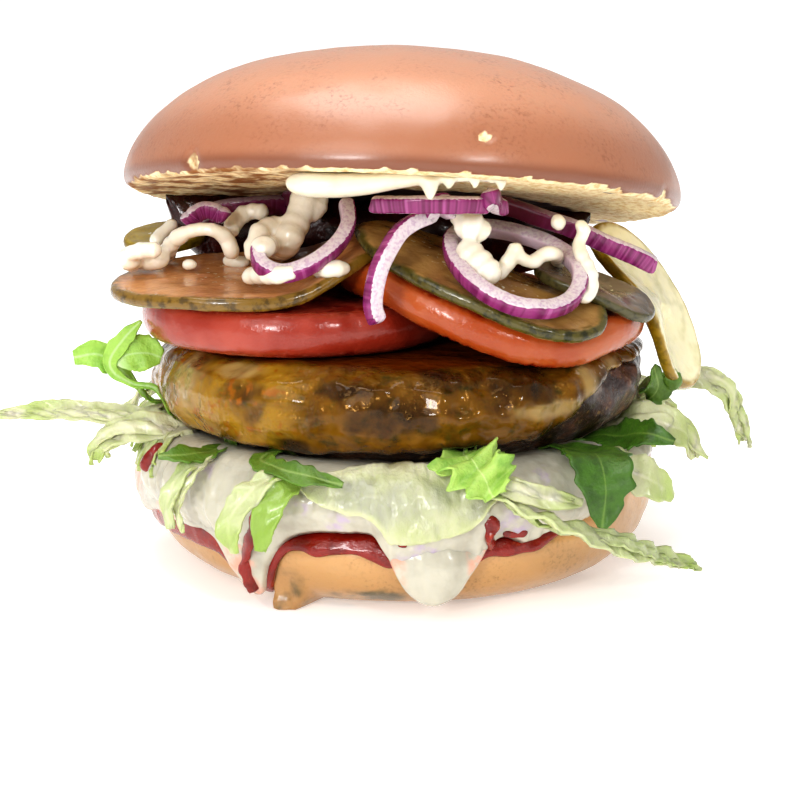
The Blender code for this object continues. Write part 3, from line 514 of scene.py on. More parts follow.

# %% [markdown]
# ## Baked crust and crumb
# A soft bun is brushed with egg before it goes into the oven. The egg leaves a thin clear
# coat with fine freckles. The crust is coloured pinkish tan on top and red-brown towards the
# rim; on the top bun that is partly a browned rim and partly painted shade on its lower side,
# and on the bottom bun the crust is coloured darker towards the foot. Where it is cut or torn
# the crumb is pale, dull and full of pores. The mesh says where crumb shows, and how far down
# the crust a point lies.

# %% Baked crust and crumb


def crust_and_crumb(name, top, middle, rim, crumb, toast):
    """Egg-washed bread crust that gives way to porous crumb where the mark says."""
    cover, tree, shader = finish(name, Roughness=0.4, IOR=1.45, Coat_Weight=0.5, Coat_Roughness=0.24,
                                 Subsurface_Weight=0.12, Subsurface_Scale=0.002)
    # down: darker lower on the crust; on the top bun partly a browned rim and partly painted shade on its
    # lower side
    down = marked(tree, "down", 0.0, 0.6)
    low = marked(tree, "down", 0.6, 1.0)
    freckles = patches(tree, 0.8, 0.45, 0.8, 3.0)
    clouds = patches(tree, 9.0, 0.2, 0.8, 2.0, 3.0)
    pores = patches(tree, 1.5, 0.3, 0.62, 4.0, 7.0)
    toasted = patches(tree, 6.0, 0.4, 0.62, 3.0, 9.0)
    crust = painted(tree, top, (down, middle), (low, rim),
                    (both(tree, both(tree, clouds, freckles), clouds), rim),
                    (both(tree, marked(tree, "char"), toasted), "#54461f"))
    # Near black on the crumb behind the toppings: sauce seeped into it, and painted shade
    crumbs = painted(tree, toast, (pores, crumb), (both(tree, marked(tree, "toast"), toasted), "#8a5626"),
                     (marked(tree, "soaked", 0.2, 0.8), "#2a0d07"))
    bread = add(tree, "ShaderNodeMix", {0: marked(tree, "crumb", 0.35, 0.65), 6: crust, 7: crumbs},
                data_type="RGBA")
    tree.links.new(bread.outputs[2], shader.inputs["Base Color"])
    varied(tree, shader, "Roughness", marked(tree, "crumb"), 0.36, 0.85)
    varied(tree, shader, "Coat Weight", marked(tree, "crumb"), 0.5, 0.0)
    relief(tree, shader, patches(tree, 0.7, 0.2, 0.8, 4.0, 1.0), 0.05, 0.5)
    relief(tree, shader, both(tree, pores, marked(tree, "crumb")), 0.25, 0.7)
    return cover


top_crust = crust_and_crumb("egg washed brioche crust", "#be8565", "#a0684a", "#7a462c", "#f2e0b4", "#d6b076")
heel_crust = crust_and_crumb("brioche base crust", "#cb9a60", "#b0834e", "#7c5c30", "#dcc596", "#a87a46")
print("crusts:", top_crust.name, "and", heel_crust.name)

# %% [markdown]
# ## The bottom bun
# The bottom bun has been pressed by its load: low in front, higher at the sides, with a
# round crust that curves in to a flat foot. A tongue of crust is torn loose in front on the
# left. The same tables as in the solid model give its skin, read smoothly here, and the torn
# tongue gets its ridges from narrow waves.

# %% The bottom bun
FOOT_RADIUS = 39.0
HEEL_CENTRE = 17.0
RIM_FRONT = 16.5
RIM_SIDE = 24.0
RIM_BACK = 22.0
SPREAD_GAP = 0.5
KETCHUP_THICKNESS = 1.0
MAYO_THICKNESS = 1.7
FLAP_ANGLE = -26.0
FLAP_RADIUS = 51.6
RIM_TABLE = [(1, 48.0), (2, 50.4), (3, 52.0), (4, 52.8), (5, 52.4), (6, 50.6), (7, 47.0), (8, 42.6),
             (9, FOOT_RADIUS)]
CUT_DISH = [(0, 0.0), (0.6, 0.05), (0.85, 0.25), (1, 1.0)]
RIM_FALL = [(1, 1.0), (2, 0.965), (3, 0.87), (4, 0.70), (5, 0.50), (6, 0.30), (7, 0.14), (8, 0.045),
            (9, 0.0)]


def rim_height(angle):
    """Height of the squashed rim: low in front, highest at the sides."""
    rise = (RIM_SIDE - RIM_FRONT) * ease(22, 78, abs(angle))
    return RIM_FRONT + rise - (RIM_SIDE - RIM_BACK) * ease(100, 145, abs(angle))


def heel_point(s, angle):
    """Point of the bottom bun's skin: 0 to 1 over the cut face, 1 to 9 down to the foot."""
    height = rim_height(angle)
    if s <= 1:
        flat = HEEL_CENTRE + (height - HEEL_CENTRE) * between(CUT_DISH, s)
        return polar(RIM_TABLE[0][1] * s, angle, flat)
    return polar(soft(RIM_TABLE, s), angle, height * soft(RIM_FALL, s))


def heel_offset(s, angle, distance):
    """Point at a distance outside the bottom bun's skin."""
    along = heel_point(s + 0.05, angle) - heel_point(s - 0.05, angle)
    across = heel_point(s, angle + 1.0) - heel_point(s, angle - 1.0)
    if across.length < 1e-6 or along.length < 1e-6:
        return heel_point(s, angle) + Vector((0, 0, distance))
    return heel_point(s, angle) + along.cross(across).normalized() * distance


def directions(count):
    """Even directions all round, from the back over the left, the front and the right."""
    return [360.0 * k / count - 180.0 for k in range(count)]


def torn_flap(s, angle):
    """How far the torn tongue stands out from the crust."""
    return ease(4.2, 7.2, s) * (1.0 - ease(2.6, 5.4, abs(angle - FLAP_ANGLE + 0.5 * (s - 7))))


# Dark smudges on the crust: direction, place, half width in degrees and half height
SMUDGES = [(-6, 6.4, 11, 0.8), (-16, 7.4, 5, 0.6), (-26, 7.0, 5, 2.5)]


def place_at(table, s, angle, wide_grain=4, long_grain=1):
    """How strongly a point lies in one of the listed places of a layer's side."""
    most = 0.0
    for turn, height, wide, tall in table:
        away = math.hypot((angle - turn) / wide, (s - height) / tall)
        uneven = 0.4 * rough(angle / wide_grain, s / long_grain, turn, 1.0)
        most = max(most, 1.0 - ease(0.4, 1.2, away + uneven))
    return most


def make_heel():
    """Bottom bun with fine lumps and the ridged torn tongue."""
    rows = steps(90)
    places = [None] + [9.0 - 8.0 * k / rows for k in range(rows + 1)] + [0.85, 0.6, 0.3, 0.02]

    def spot(s, angle):
        if s is None:
            return polar(0.5, angle, 0.0), 1.0, 0.0, 0.0
        point = heel_point(s, angle)
        flap = torn_flap(s, angle)
        if 1 < s < 9:
            lumps = 0.35 * grain(point, 9.0) + 0.1 * grain(point, 2.2, 2)
            point += polar(1.0, angle, 0.0) * lumps * ease(9, 8, s)
        if flap > 0 and s < 9:
            ridge = 0.55 * math.sin(angle * 4.2 + 0.5 * s) + 0.4 * rough(angle, s, 3.0, 0.9)
            point = point.lerp(polar(FLAP_RADIUS + ridge, angle, max(0.95 * point.z, 0.2)), flap)
        if s < 9:
            point.z = max(point.z, 0.05)
        char = place_at(SMUDGES, s, angle) if abs(angle) < 60 else 0.0
        return point, 0.7 * ease(1.5, 7.5, s), 1.0 if s < 1.05 else 0.0, char

    mesh = woven("bottom_bun", places, directions(steps(300)), spot, ("down", "crumb", "char"))
    return dress(place("bottom_bun", mesh), heel_crust, "bun_crust", "heel")


make_heel()

# %% [markdown]
# ## Sauces on the bottom bun
# Tomato sauce is thin, dark red and wet. The white sauce over it is thick: it keeps round
# lips, hangs over the rim in lobes, and one big drip runs down in front. Both follow the bun's
# skin at a distance, so they can't float. Subsurface scattering gives the white sauce its
# milky edges, and a faint pink shows where the red one is close under it.

# %% Sauce finishes


def white_sauce(name, body, shade):
    """Mayonnaise: oil whipped with egg, dense, cream white and wet."""
    cover, tree, shader = finish(name, Roughness=0.24, IOR=1.47, Subsurface_Weight=0.35,
                                 Subsurface_Scale=0.0025, Subsurface_Radius=(1.0, 0.8, 0.55),
                                 Coat_Weight=0.3, Coat_Roughness=0.1)
    tinted(tree, shader, body, (patches(tree, 7.0, 0.4, 0.75, 3.0), shade),
           # Lilac grey where the sauce is thin: painted shade
           (both(tree, marked(tree, "veil"), patches(tree, 4.5, 0.45, 0.65, 3.0, 4.0)), "#b3a3b4"),
           (both(tree, marked(tree, "tint"), patches(tree, 3.0, 0.35, 0.6, 3.0, 2.0)), "#dba08a"))
    relief(tree, shader, patches(tree, 2.5, 0.25, 0.75, 2.0, 5.0), 0.15, 0.5)
    return cover


def red_sauce(name, body, deep, thin):
    """Tomato sauce: cooked pulp, dark where it is thick and orange where it smears out."""
    cover, tree, shader = finish(name, Roughness=0.2, IOR=1.4, Subsurface_Weight=0.2, Subsurface_Scale=0.0012,
                                 Coat_Weight=0.3, Coat_Roughness=0.1)
    tinted(tree, shader, body, (patches(tree, 3.5, 0.4, 0.7), deep),
           (patches(tree, 2.0, 0.6, 0.8, 3.0, 4.0), thin))
    relief(tree, shader, patches(tree, 1.2, 0.25, 0.75, 3.0, 2.0), 0.15, 0.6)
    return cover


# One white sauce in three colours set by the light each place gets: the ropes in the top bun's shadow are
# lighter, which is painted light; the band in front is darker and the bottom layer and the curtain darker
# still, which is painted shade
mayo = white_sauce("mayonnaise with painted light", "#f0e9d8", "#e4dac4")
pressed_mayo = white_sauce("mayonnaise with painted shade", "#ded6c0", "#cfc5ac")
low_mayo = white_sauce("mayonnaise with deeper painted shade", "#beb9a8", "#a6a090")
ketchup = red_sauce("cooked tomato sauce", "#861a0e", "#6a1008", "#a84018")
# Tomato sauce darkened to near black: painted shade for the sauce behind the toppings
dark_ketchup = red_sauce("tomato sauce with painted shade", "#3a0e08", "#260805", "#4f1810")
print("sauces:", mayo.name, "and", ketchup.name)

# %% Sauces on the bottom bun
# Lower edges as heights in millimetres over the direction in degrees
MAYO_HEM = [
    (-180, 18), (-150, 16.5), (-130, 18.5), (-100, 18), (-88, 13), (-80, 14.5), (-72, 12.5), (-64, 14.0),
    (-56, 13.6), (-48, 14.0), (-43, 13.6), (-39, 11), (-36, 7.0), (-33, 4.2), (-30.5, 5.0), (-28, 10),
    (-24, 14.6), (-19, 16.6), (-13, 17.2), (-6, 16.8), (-3.5, 13.6), (-1, 9.4), (1.5, 6.8), (4.5, 5.6),
    (8, 5.6), (11, 7.0), (14, 10), (17, 13.2), (21, 15.6), (26, 13.8), (31, 15.2), (36, 14.6), (42, 16.6),
    (60, 20), (80, 22.3), (110, 20), (140, 17), (160, 18.5), (180, 18)]
KETCHUP_HEM = [
    (-180, 20), (-135, 19.5), (-108, 16), (-86, 11), (-72, 9.6), (-62, 10.2), (-50, 10.0), (-42, 9.8),
    (-38, 6.2), (-34, 3.6), (-30, 4.0), (-26, 11), (-22, 13.0), (-18, 12.0), (-12, 13.0), (-6, 12.0),
    (-2, 11.0), (6, 11), (14, 10.6), (18, 12.0), (26, 11.8), (33, 13.4), (42, 16), (70, 21), (120, 20.5),
    (180, 20)]


def hem_place(table, angle):
    """Place on the bun's skin where a spread ends."""
    ragged = soft(table, angle) + 0.5 * rough(angle, 0.0, len(table), 4.0)
    share = min(0.985, max(0.12, ragged / rim_height(angle)))
    falls = [(value, spot) for spot, value in reversed(RIM_FALL)]
    return between(falls, share)


def lip(s, hem):
    """Round edge of a spread: full inside, thin at its hem."""
    return quarter(min(1.0, max(0.0, (hem - s) / 0.55)))


def ketchup_cover(s, angle):
    """Thickness of the red spread."""
    hem = hem_place(KETCHUP_HEM, angle)
    return KETCHUP_THICKNESS * (0.35 + 0.65 * lip(s, hem)) + 0.25 * rough(angle / 3, 2 * s, 1.0, 1.1)


def mayo_cover(s, angle):
    """Thickness of the white sauce, thicker in the big drip, in lobes and in lumps."""
    drip = 1.0 - ease(2, 8, abs(angle - 7.0))
    lobes = 0.5 * rough(angle / 10, s, 3.0, 1.6) + 0.4 * rough(angle / 4, 1.3 * s, 8.0, 1.2)
    lobes += 0.25 * rough(angle / 1.6, s, 5.0, 1.0)
    full = MAYO_THICKNESS + lobes + 1.5 * drip * ease(1, 4, s) + 0.5 * ease(0.9, 2.5, s)
    return full * (0.25 + 0.75 * lip(s, hem_place(MAYO_HEM, angle)))


def spread(name, hem_table, lower, upper, cover, slot, node, tints=()):
    """Layer on the bottom bun between two offsets of its skin."""
    rows = steps(56)
    shares = [k / rows for k in range(rows + 1)]
    levels = [(share, lower) for share in shares[::4]] + [(share, upper) for share in reversed(shares)]
    hems = [(angle, hem_place(hem_table, angle)) for angle in directions(steps(420))]

    def spot(level, turn):
        share, offset = level
        angle, hem = turn
        s = 0.03 + (hem - 0.03) * share
        near = 0.0
        for middle, wide, low, high in tints:
            near = max(near, (1.0 - ease(0.4 * wide, wide, abs(angle - middle))) * ease(low, high, s))
        return heel_offset(s, angle, offset(s, angle)), near

    return dress(place(name, woven(name, levels, hems, spot, ("tint",))), cover, slot, node)


# Direction, width and the places on the skin between which red shines through the white sauce
PINK_SPOTS = [(-57, 7, 2.5, 4.5), (-2, 3.5, 2.0, 3.0), (-12, 6, 0.9, 1.2), (15, 3, 1.5, 2.5),
              (-34, 5, 3.0, 4.5), (-75, 8, 1.0, 3.0), (24, 4, 1.2, 2.2)]
spread("red_sauce", KETCHUP_HEM, lambda s, a: SPREAD_GAP - 0.4,
       lambda s, a: SPREAD_GAP + ketchup_cover(s, a), ketchup, "ketchup", "ketchup_spread")
white_layer = spread(
    "white_sauce", MAYO_HEM, lambda s, a: SPREAD_GAP,
    lambda s, a: 2 * SPREAD_GAP + ketchup_cover(s, a) * ease(1.6, 0.8, s) + 0.2 + mayo_cover(s, a),
    low_mayo, "mayo", "mayo_spread", PINK_SPOTS)
low_sauce = [tree_in(white_layer.data)]

# %% [markdown]
# ## The patty
# Minced beef sears on a hot plate: near black crust on the ridges, brown fat between them.
# The patty's profile is the solid model's, and noise of three sizes gives the lumps, the
# crumbs of mince and their pits.

# %% The patty
PATTY_RADIUS = 50.2
PATTY_BOTTOM = 26.0
PATTY_TOP = 44.2
STACK_SLOPE = -0.04
MINCE_DEPTH = 0.8
PATTY_SHAPE = [(0, 0.5, PATTY_BOTTOM), (1, 20.0, PATTY_BOTTOM), (2, 34.0, PATTY_BOTTOM), (3, 40.0, 26.8),
               (4, 45.4, 29.8), (5, 48.8, 33.2), (6, PATTY_RADIUS, 37.0), (7, 49.8, 40.2), (8, 47.4, 43.0),
               (9, 42.0, PATTY_TOP + 0.3), (10, 32.0, PATTY_TOP + 0.1), (11, 18.0, PATTY_TOP),
               (12, 0.5, PATTY_TOP)]
PATTY_WIDTHS = [(s, radius) for s, radius, height in PATTY_SHAPE]
PATTY_HEIGHTS = [(s, height) for s, radius, height in PATTY_SHAPE]


def slope_at(y):
    """Rise of the leaning stack above its height in the middle."""
    return STACK_SLOPE * y


def patty_point(s, angle):
    """Point of the patty's lumpy skin."""
    radius = soft(PATTY_WIDTHS, s)
    height = soft(PATTY_HEIGHTS, s)
    side = ease(2.2, 4.2, s) * (1.0 - ease(8.6, 9.8, s))
    point = polar(radius, angle, height)
    lump = 1.3 * rough(point.x, point.y, point.z, 11) + 0.6 * rough(point.x, point.y, point.z, 5)
    point = polar(radius + side * lump, angle, height + 0.4 * side * lump)
    point.z += slope_at(point.y)
    return point


def patty_offset(s, angle, distance):
    """Point at a distance outside the patty's skin."""
    dr = between(PATTY_WIDTHS, s + 0.3) - between(PATTY_WIDTHS, s - 0.3)
    dz = between(PATTY_HEIGHTS, s + 0.3) - between(PATTY_HEIGHTS, s - 0.3)
    span = max(math.hypot(dr, dz), 1e-6)
    return patty_point(s, angle) + polar(dz / span, angle, -dr / span) * distance


def mince(point):
    """Crumbly relief of seared mince in millimetres."""
    clods = noise.cell_vector(point / 2.4)
    return 0.35 * grain(point, 3.2, 3) + 0.18 * (clods.x - 0.5)


def seared_beef():
    """Seared mince: sugars and fat burnt to a dark, half-glossy crust."""
    cover, tree, shader = finish("seared minced beef", Roughness=0.38, IOR=1.45, Coat_Weight=0.4,
                                 Coat_Roughness=0.25)
    tinted(tree, shader, "#2c1208", (patches(tree, 4.0, 0.45, 0.7), "#5a2f14"),
           (patches(tree, 1.6, 0.55, 0.75, 4.0, 3.0), "#8a6a44"),
           (patches(tree, 6.0, 0.6, 0.75, 2.0, 9.0), "#8c7c72"))
    varied(tree, shader, "Roughness", patches(tree, 2.5, 0.3, 0.7, 3.0, 5.0), 0.25, 0.6)
    relief(tree, shader, patches(tree, 0.9, 0.3, 0.7, 4.0, 6.0), 0.3, 0.9)
    return cover


def make_patty():
    """Patty with crumbs of mince on its side."""
    rows = steps(84)

    def spot(s, angle):
        side = ease(2.0, 3.5, s) * (1.0 - ease(8.8, 9.8, s))
        return [patty_offset(s, angle, MINCE_DEPTH * side * mince(patty_point(s, angle)))]

    mesh = woven("beef_patty", [12.0 * k / rows for k in range(rows + 1)], directions(steps(300)), spot)
    return dress(place("beef_patty", mesh), seared_beef(), "patty", "patty")


make_patty()

# %% [markdown]
# ## Melted cheese
# The slice has melted into a thin skin over the seared meat: amber, see-through in part and
# so glossy that every fold carries a speck of light. It is built as an offset of the patty's
# skin with folds that run sideways, and its finish lets dark meat stain it where the picture
# shows that.

# %% Melted cheese
CHEESE_GAP = 0.6
CHEESE_THICKNESS = 1.6
# Lower edge of the cheese as a place on the patty over the direction in degrees
CHEESE_HEM = [(-180, 6.0), (-130, 5.2), (-90, 4.9), (-60, 4.4), (-30, 4.2), (0, 4.3), (15, 4.7), (32, 4.9),
              (46, 6.6), (60, 7.6), (90, 7.4), (130, 6.2), (180, 6.0)]


def melted_cheese():
    """Cheese skin on hot fat: amber on the left, stained near black in the middle and on the right, with
    painted shade under the tomatoes.
    """
    cover, tree, shader = finish("melted cheese on seared beef", Roughness=0.17, IOR=1.46,
                                 Subsurface_Weight=0.15, Subsurface_Scale=0.0015, Coat_Weight=0.6,
                                 Coat_Roughness=0.06, Specular_Tint=linear("#dba860"))
    left = marked(tree, "left")
    specks = patches(tree, 1.8, 0.6, 0.72, 3.0, 8.0)
    dark = patches(tree, 3.6, 0.36, 0.7, 5.0, 1.0)
    tinted(tree, shader, "#62400a", (patches(tree, 7.0, 0.4, 0.75, 2.0, 4.0), "#7c530e"),
           (patches(tree, 6.0, 0.45, 0.7, 3.0, 2.5), "#4a2c06"),
           (patches(tree, 3.0, 0.5, 0.75, 3.0, 6.5), "#38300a"),
           (both(tree, left, patches(tree, 8.0, 0.3, 0.6, 2.0, 12.0)), "#96701a"),
           (both(tree, left, patches(tree, 3.0, 0.55, 0.7, 2.0, 14.0)), "#8f5208"),
           # deep: top of the cheese under the tomatoes, painted dark brown as painted shade
           (marked(tree, "film", 0.0, 1.2), "#a38a58"), (marked(tree, "deep"), "#5a2604"),
           (marked(tree, "stain", 0.0, 1.6), "#2c1405"),
           (both(tree, marked(tree, "stain", 0.2, 1.3), dark), "#0d0502"),
           (both(tree, marked(tree, "pale"), specks), "#a99a88"))
    shaded = marked(tree, "deep", 0.3, 0.9)
    varied(tree, shader, "Coat Weight", marked(tree, "deep"), 0.35, 0.0)
    varied(tree, shader, "Specular IOR Level", shaded, 0.5, 0.0)
    varied(tree, shader, "Roughness", shaded, 0.17, 0.9)
    blisters = both(tree, patches(tree, 1.5, 0.3, 0.7, 1.0, 3.0), patches(tree, 9.0, 0.4, 0.6))
    relief(tree, shader, patches(tree, 4.2, 0.25, 0.75, 1.0, 6.0), 0.7, 0.7)
    relief(tree, shader, blisters, 0.3, 0.6)
    return cover


# Dark places of the cheese: direction, place on the patty, half width in degrees and half height
STAINS = [(10, 7.9, 9, 0.8), (28, 7.7, 11, 1.4), (-2, 6.2, 12, 1.2), (-25, 4.8, 5, 0.5), (14, 4.7, 10, 0.6),
          (51, 6.8, 4, 1.0), (33, 5.2, 8, 0.7), (-12, 7.4, 9, 0.5)]
# Pale places of the cheese, given in the same way
FILMS = [(-56, 7.0, 7, 1.6), (-40, 7.9, 9, 0.5), (34, 6.3, 12, 0.5), (45, 7.2, 3, 1.4), (56, 8.0, 4, 0.9)]


def fold_height(s, angle):
    """Sideways folds and drips of the molten skin."""
    fold = 0.5 * rough(angle / 16, 1.7 * s, 4.0, 1.0) + 0.3 * rough(angle / 5, 1.2 * s, 9.0, 1.0)
    meaty = ease(-32, -18, angle) * (1.0 - ease(38, 50, angle)) * ease(8.4, 7.4, s)
    point = patty_point(s, angle)
    return fold + meaty * (0.8 * grain(point, 5.0, 2) - 0.2)


def make_cheese():
    """Cheese skin over the top and most of the side of the patty."""
    rows = steps(64)
    levels = [(k / 12, 0.0) for k in range(13)] + [(1.0 - k / rows, 1.0) for k in range(rows + 1)]
    hems = [(angle, soft(CHEESE_HEM, angle) + 0.25 * rough(angle, 1.0, 2.0, 5.0))
            for angle in directions(steps(420))]

    def spot(row, turn):
        share, level = row
        angle, hem = turn
        s = 12.0 - (12.0 - hem) * share ** 0.8
        edge = 0.3 + 0.7 * (lip(s, 2 * s - hem) if s > hem else 0.0)
        fold = fold_height(s, angle) * ease(10.5, 8.5, s) if level else 0.0
        # Painted shade on the top of the cheese, under the tomatoes
        brown = ease(8.0, 9.0, s + 0.5 * rough(angle / 6, s, 5.0, 1.0)) * (1.0 - ease(60, 100, abs(angle)))
        return (patty_offset(s, angle, CHEESE_GAP + level * (CHEESE_THICKNESS + fold) * edge),
                place_at(STAINS, s, angle), ease(34, 52, angle) * (1.0 - ease(75, 95, angle)), brown,
                0.8 * place_at(FILMS, s, angle), ease(-14, -34, angle) * ease(-150, -120, angle))

    mesh = woven("cheese_skin", levels, hems, spot, ("stain", "pale", "deep", "film", "left"))
    return dress(place("cheese_skin", mesh), melted_cheese(), "cheese", "cheese")


make_cheese()

# %% [markdown]
# ## Slices that rest on what lies under them
# Tomato and pickle slices bend over the layers below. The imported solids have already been
# laid down, so a finer slice can read its height from the underside of its own solid: a ray
# from below finds it at any place. The outline, the rounded rim and the marks come from the
# slice's own oval.

# %% Slices that rest on what lies under them
SLICE_WOBBLE = 0.02


def underside(node):
    """Function that gives the height of a solid's underside over the floor."""
    trees = tree_of(node)
    known = {}

    def height(x, y):
        key = (round(x * 2), round(y * 2))
        if key not in known:
            hit = first_hit(trees, Vector((key[0] / 2, key[1] / 2, 1.0)), Vector((0, 0, 1)))
            known[key] = None if hit is None else hit.z
        return known[key]

    return height


def soft_height(height, x, y, reach=1.6):
    """Height smoothed over a small circle."""
    total = 0.0
    count = 0
    for ring, amount in ((0.0, 1), (0.5, 6), (1.0, 8)):
        for k in range(amount):
            turn = 2 * math.pi * k / amount
            found = height(x + reach * ring * math.cos(turn), y + reach * ring * math.sin(turn))
            if found is not None:
                total += found
                count += 1
    return total / count if count else None


def slice_rows(count, bends, inset):
    """Share of the radius and level of each ring: out below, round the rim and back in above."""
    inner = [share * (1.0 - inset) for share in [0.01] + [k / count for k in range(1, count)]]
    bend = [(1.0 - inset + inset * math.sin(math.pi * k / bends), -0.5 * math.cos(math.pi * k / bends))
            for k in range(bends + 1)]
    return [(share, -0.5) for share in inner] + bend + [(share, 0.5) for share in reversed(inner)]


def slice_piece(name, node, centre, half, thickness, cover, slot, surface, edge, turn=0.0, reach=1.6):
    """Fine oval slice over its solid's underside, with a mark for how far out a point lies."""
    low = underside(node)
    around = steps(230)
    spin = Matrix.Rotation(math.radians(turn), 2)
    inset = edge / min(half)
    rows = slice_rows(steps(40), 12, inset)
    rings = []
    for share, level in rows:
        ring = []
        for k in range(around):
            angle = 2 * math.pi * k / around
            size = 1.0 + SLICE_WOBBLE * rough(math.cos(angle) * 3, math.sin(angle) * 3, centre[0], 1.7)
            flat = spin @ Vector((half[0] * math.cos(angle), half[1] * math.sin(angle))) * size * share
            safe = min(1.0, 0.93 / max(share, 0.01))
            floor = soft_height(low, centre[0] + flat.x * safe, centre[1] + flat.y * safe, reach)
            if floor is None:
                floor = ring[-1].z if ring else rings[-1][k].z
            height = floor + thickness * (level + 0.5) + surface(share, angle, level)
            ring.append(Vector((centre[0] + flat.x, centre[1] + flat.y, height)))
        rings.append(ring)
    radius = [[share] * around for share, level in rows]
    return dress(place(name, ring_mesh(name, rings, {"radius": radius})), cover, slot, node)


# %% [markdown]
# ## Tomato
# A cut tomato is wet flesh under a thin smooth skin. The skin is a narrow band at the rim,
# pinkish red with a soft sheen. The flesh inside it is paler, and it is darker and glassier
# where the seeds sit. Light goes some millimetres deep into it.

# %% Tomato
TOMATO_LEFT_THICKNESS = 8.8
TOMATO_RIGHT_THICKNESS = 7.3


def tomato_flesh(name, skin, skin_light, flesh, jelly):
    """Ripe tomato: glossy skin at the rim, grained flesh and wet jelly on the cut faces."""
    cover, tree, shader = finish(name, Roughness=0.24, IOR=1.4, Subsurface_Weight=0.35,
                                 Subsurface_Scale=0.003, Subsurface_Radius=(1.0, 0.35, 0.2),
                                 Coat_Weight=0.35, Coat_Roughness=0.12)
    rim = marked(tree, "radius", 0.955, 0.985)
    tinted(tree, shader, flesh, (patches(tree, 6.0, 0.5, 0.62, 2.0, 2.0), jelly),
           (patches(tree, 1.5, 0.5, 0.75, 3.0, 5.0), skin_light), (rim, skin),
           (both(tree, rim, patches(tree, 14.0, 0.4, 0.65, 2.0, 1.0, (1, 1, 0.6))), skin_light))
    inner = marked(tree, "radius", 0.96, 0.86)
    varied(tree, shader, "Roughness", inner, 0.24, 0.7)
    varied(tree, shader, "Coat Weight", inner, 0.35, 0.0)
    varied(tree, shader, "Specular IOR Level", inner, 0.5, 0.12)
    relief(tree, shader, patches(tree, 1.6, 0.3, 0.7, 3.0, 3.0), 0.12, 0.5)
    return cover


def flesh_relief(share, angle, level):
    """Slight pillow of a cut face, with shallow wet hollows round the middle."""
    if abs(level) < 0.49:
        return 0.0
    chamber = max(0.0, math.cos(3.0 * angle + 0.6)) * ease(0.3, 0.55, share) * (1 - ease(0.72, 0.86, share))
    return math.copysign(0.25 * (1.0 - share) - 0.4 * chamber, level)


left_tomato = tomato_flesh("ripe tomato left", "#902c1a", "#a84634", "#8e3220", "#741608")
right_tomato = tomato_flesh("ripe tomato right", "#a04414", "#b05a2c", "#a6481c", "#8a2408")
slice_piece("tomato_slice_left", "tomato_left", (-21, -9.5), (32.0, 32.5), TOMATO_LEFT_THICKNESS,
            left_tomato, "tomato", flesh_relief, 2.6)
slice_piece("tomato_slice_right", "tomato_right", (18, -12.5), (31.5, 32.5), TOMATO_RIGHT_THICKNESS,
            right_tomato, "tomato", flesh_relief, 2.2, reach=2.4)

# %% [markdown]
# ## Pickled cucumber
# A slice of pickled cucumber keeps its dark olive peel as a narrow rim round a wet, half
# see-through face. The face is tan where sauce and tomato shine through it, and pale cream
# with faint seed marks where it hangs free against the light; the pale cream is partly the
# slice's own colour and partly painted backlight.

# %% Pickled cucumber
PICKLE_THICKNESS = 2.6
# A hanging slice reads its solid on this many ovals, this share of its radius apart
READINGS = 10
READING_STEP = 0.088


def pickled_cucumber(name, face, face_dark, rim, rim_dark):
    """Cucumber in brine: olive peel round translucent flesh with pale seeds."""
    cover, tree, shader = finish(name, Roughness=0.22, IOR=1.38, Subsurface_Weight=0.3,
                                 Subsurface_Scale=0.002, Subsurface_Radius=(1.0, 0.75, 0.3),
                                 Coat_Weight=0.4, Coat_Roughness=0.12)
    peel = marked(tree, "radius", 0.955, 0.985)
    edge = marked(tree, "radius", 0.90, 0.97)
    seeds = both(tree, patches(tree, 1.4, 0.62, 0.72, 2.0, 6.0), marked(tree, "radius", 0.7, 0.3))
    tinted(tree, shader, face, (patches(tree, 5.0, 0.4, 0.7, 2.0, 2.0), face_dark), (seeds, "#e6deb4"),
           (both(tree, edge, patches(tree, 4.0, 0.3, 0.6, 2.0, 4.0)), rim), (peel, rim),
           (both(tree, peel, patches(tree, 2.2, 0.45, 0.65, 3.0, 1.0)), rim_dark))
    relief(tree, shader, patches(tree, 1.8, 0.3, 0.7, 3.0, 3.0), 0.15, 0.5)
    return cover


tan_pickle = pickled_cucumber("tan pickled cucumber", "#c98f5c", "#bb8250", "#7a5c1c", "#4f3a0a")
deep_pickle = pickled_cucumber("brown pickled cucumber", "#a37d46", "#8a6636", "#544c1a", "#2b2a0e")
# Pale cream face of the hanging slice: partly its own colour, partly painted backlight
pale_pickle = pickled_cucumber("pale pickled cucumber with painted backlight", "#eee6c0", "#d8d0a2", "#9a7a16", "#7b6210")


def pickle_relief(share, angle, level):
    """Wrinkled face and peel of a pickle slice."""
    return 0.18 * rough(share * 9 * math.cos(angle), share * 9 * math.sin(angle), level, 1.6)


slice_piece("pickle_slice_left", "pickle_left", (-30, -19), (28.5, 22.5), PICKLE_THICKNESS, tan_pickle,
            "pickle", pickle_relief, 0.9, turn=4)
slice_piece("pickle_slice_middle", "pickle_middle", (15, -30), (25.5, 15.5), PICKLE_THICKNESS, deep_pickle,
            "pickle", pickle_relief, 0.9, turn=-20)


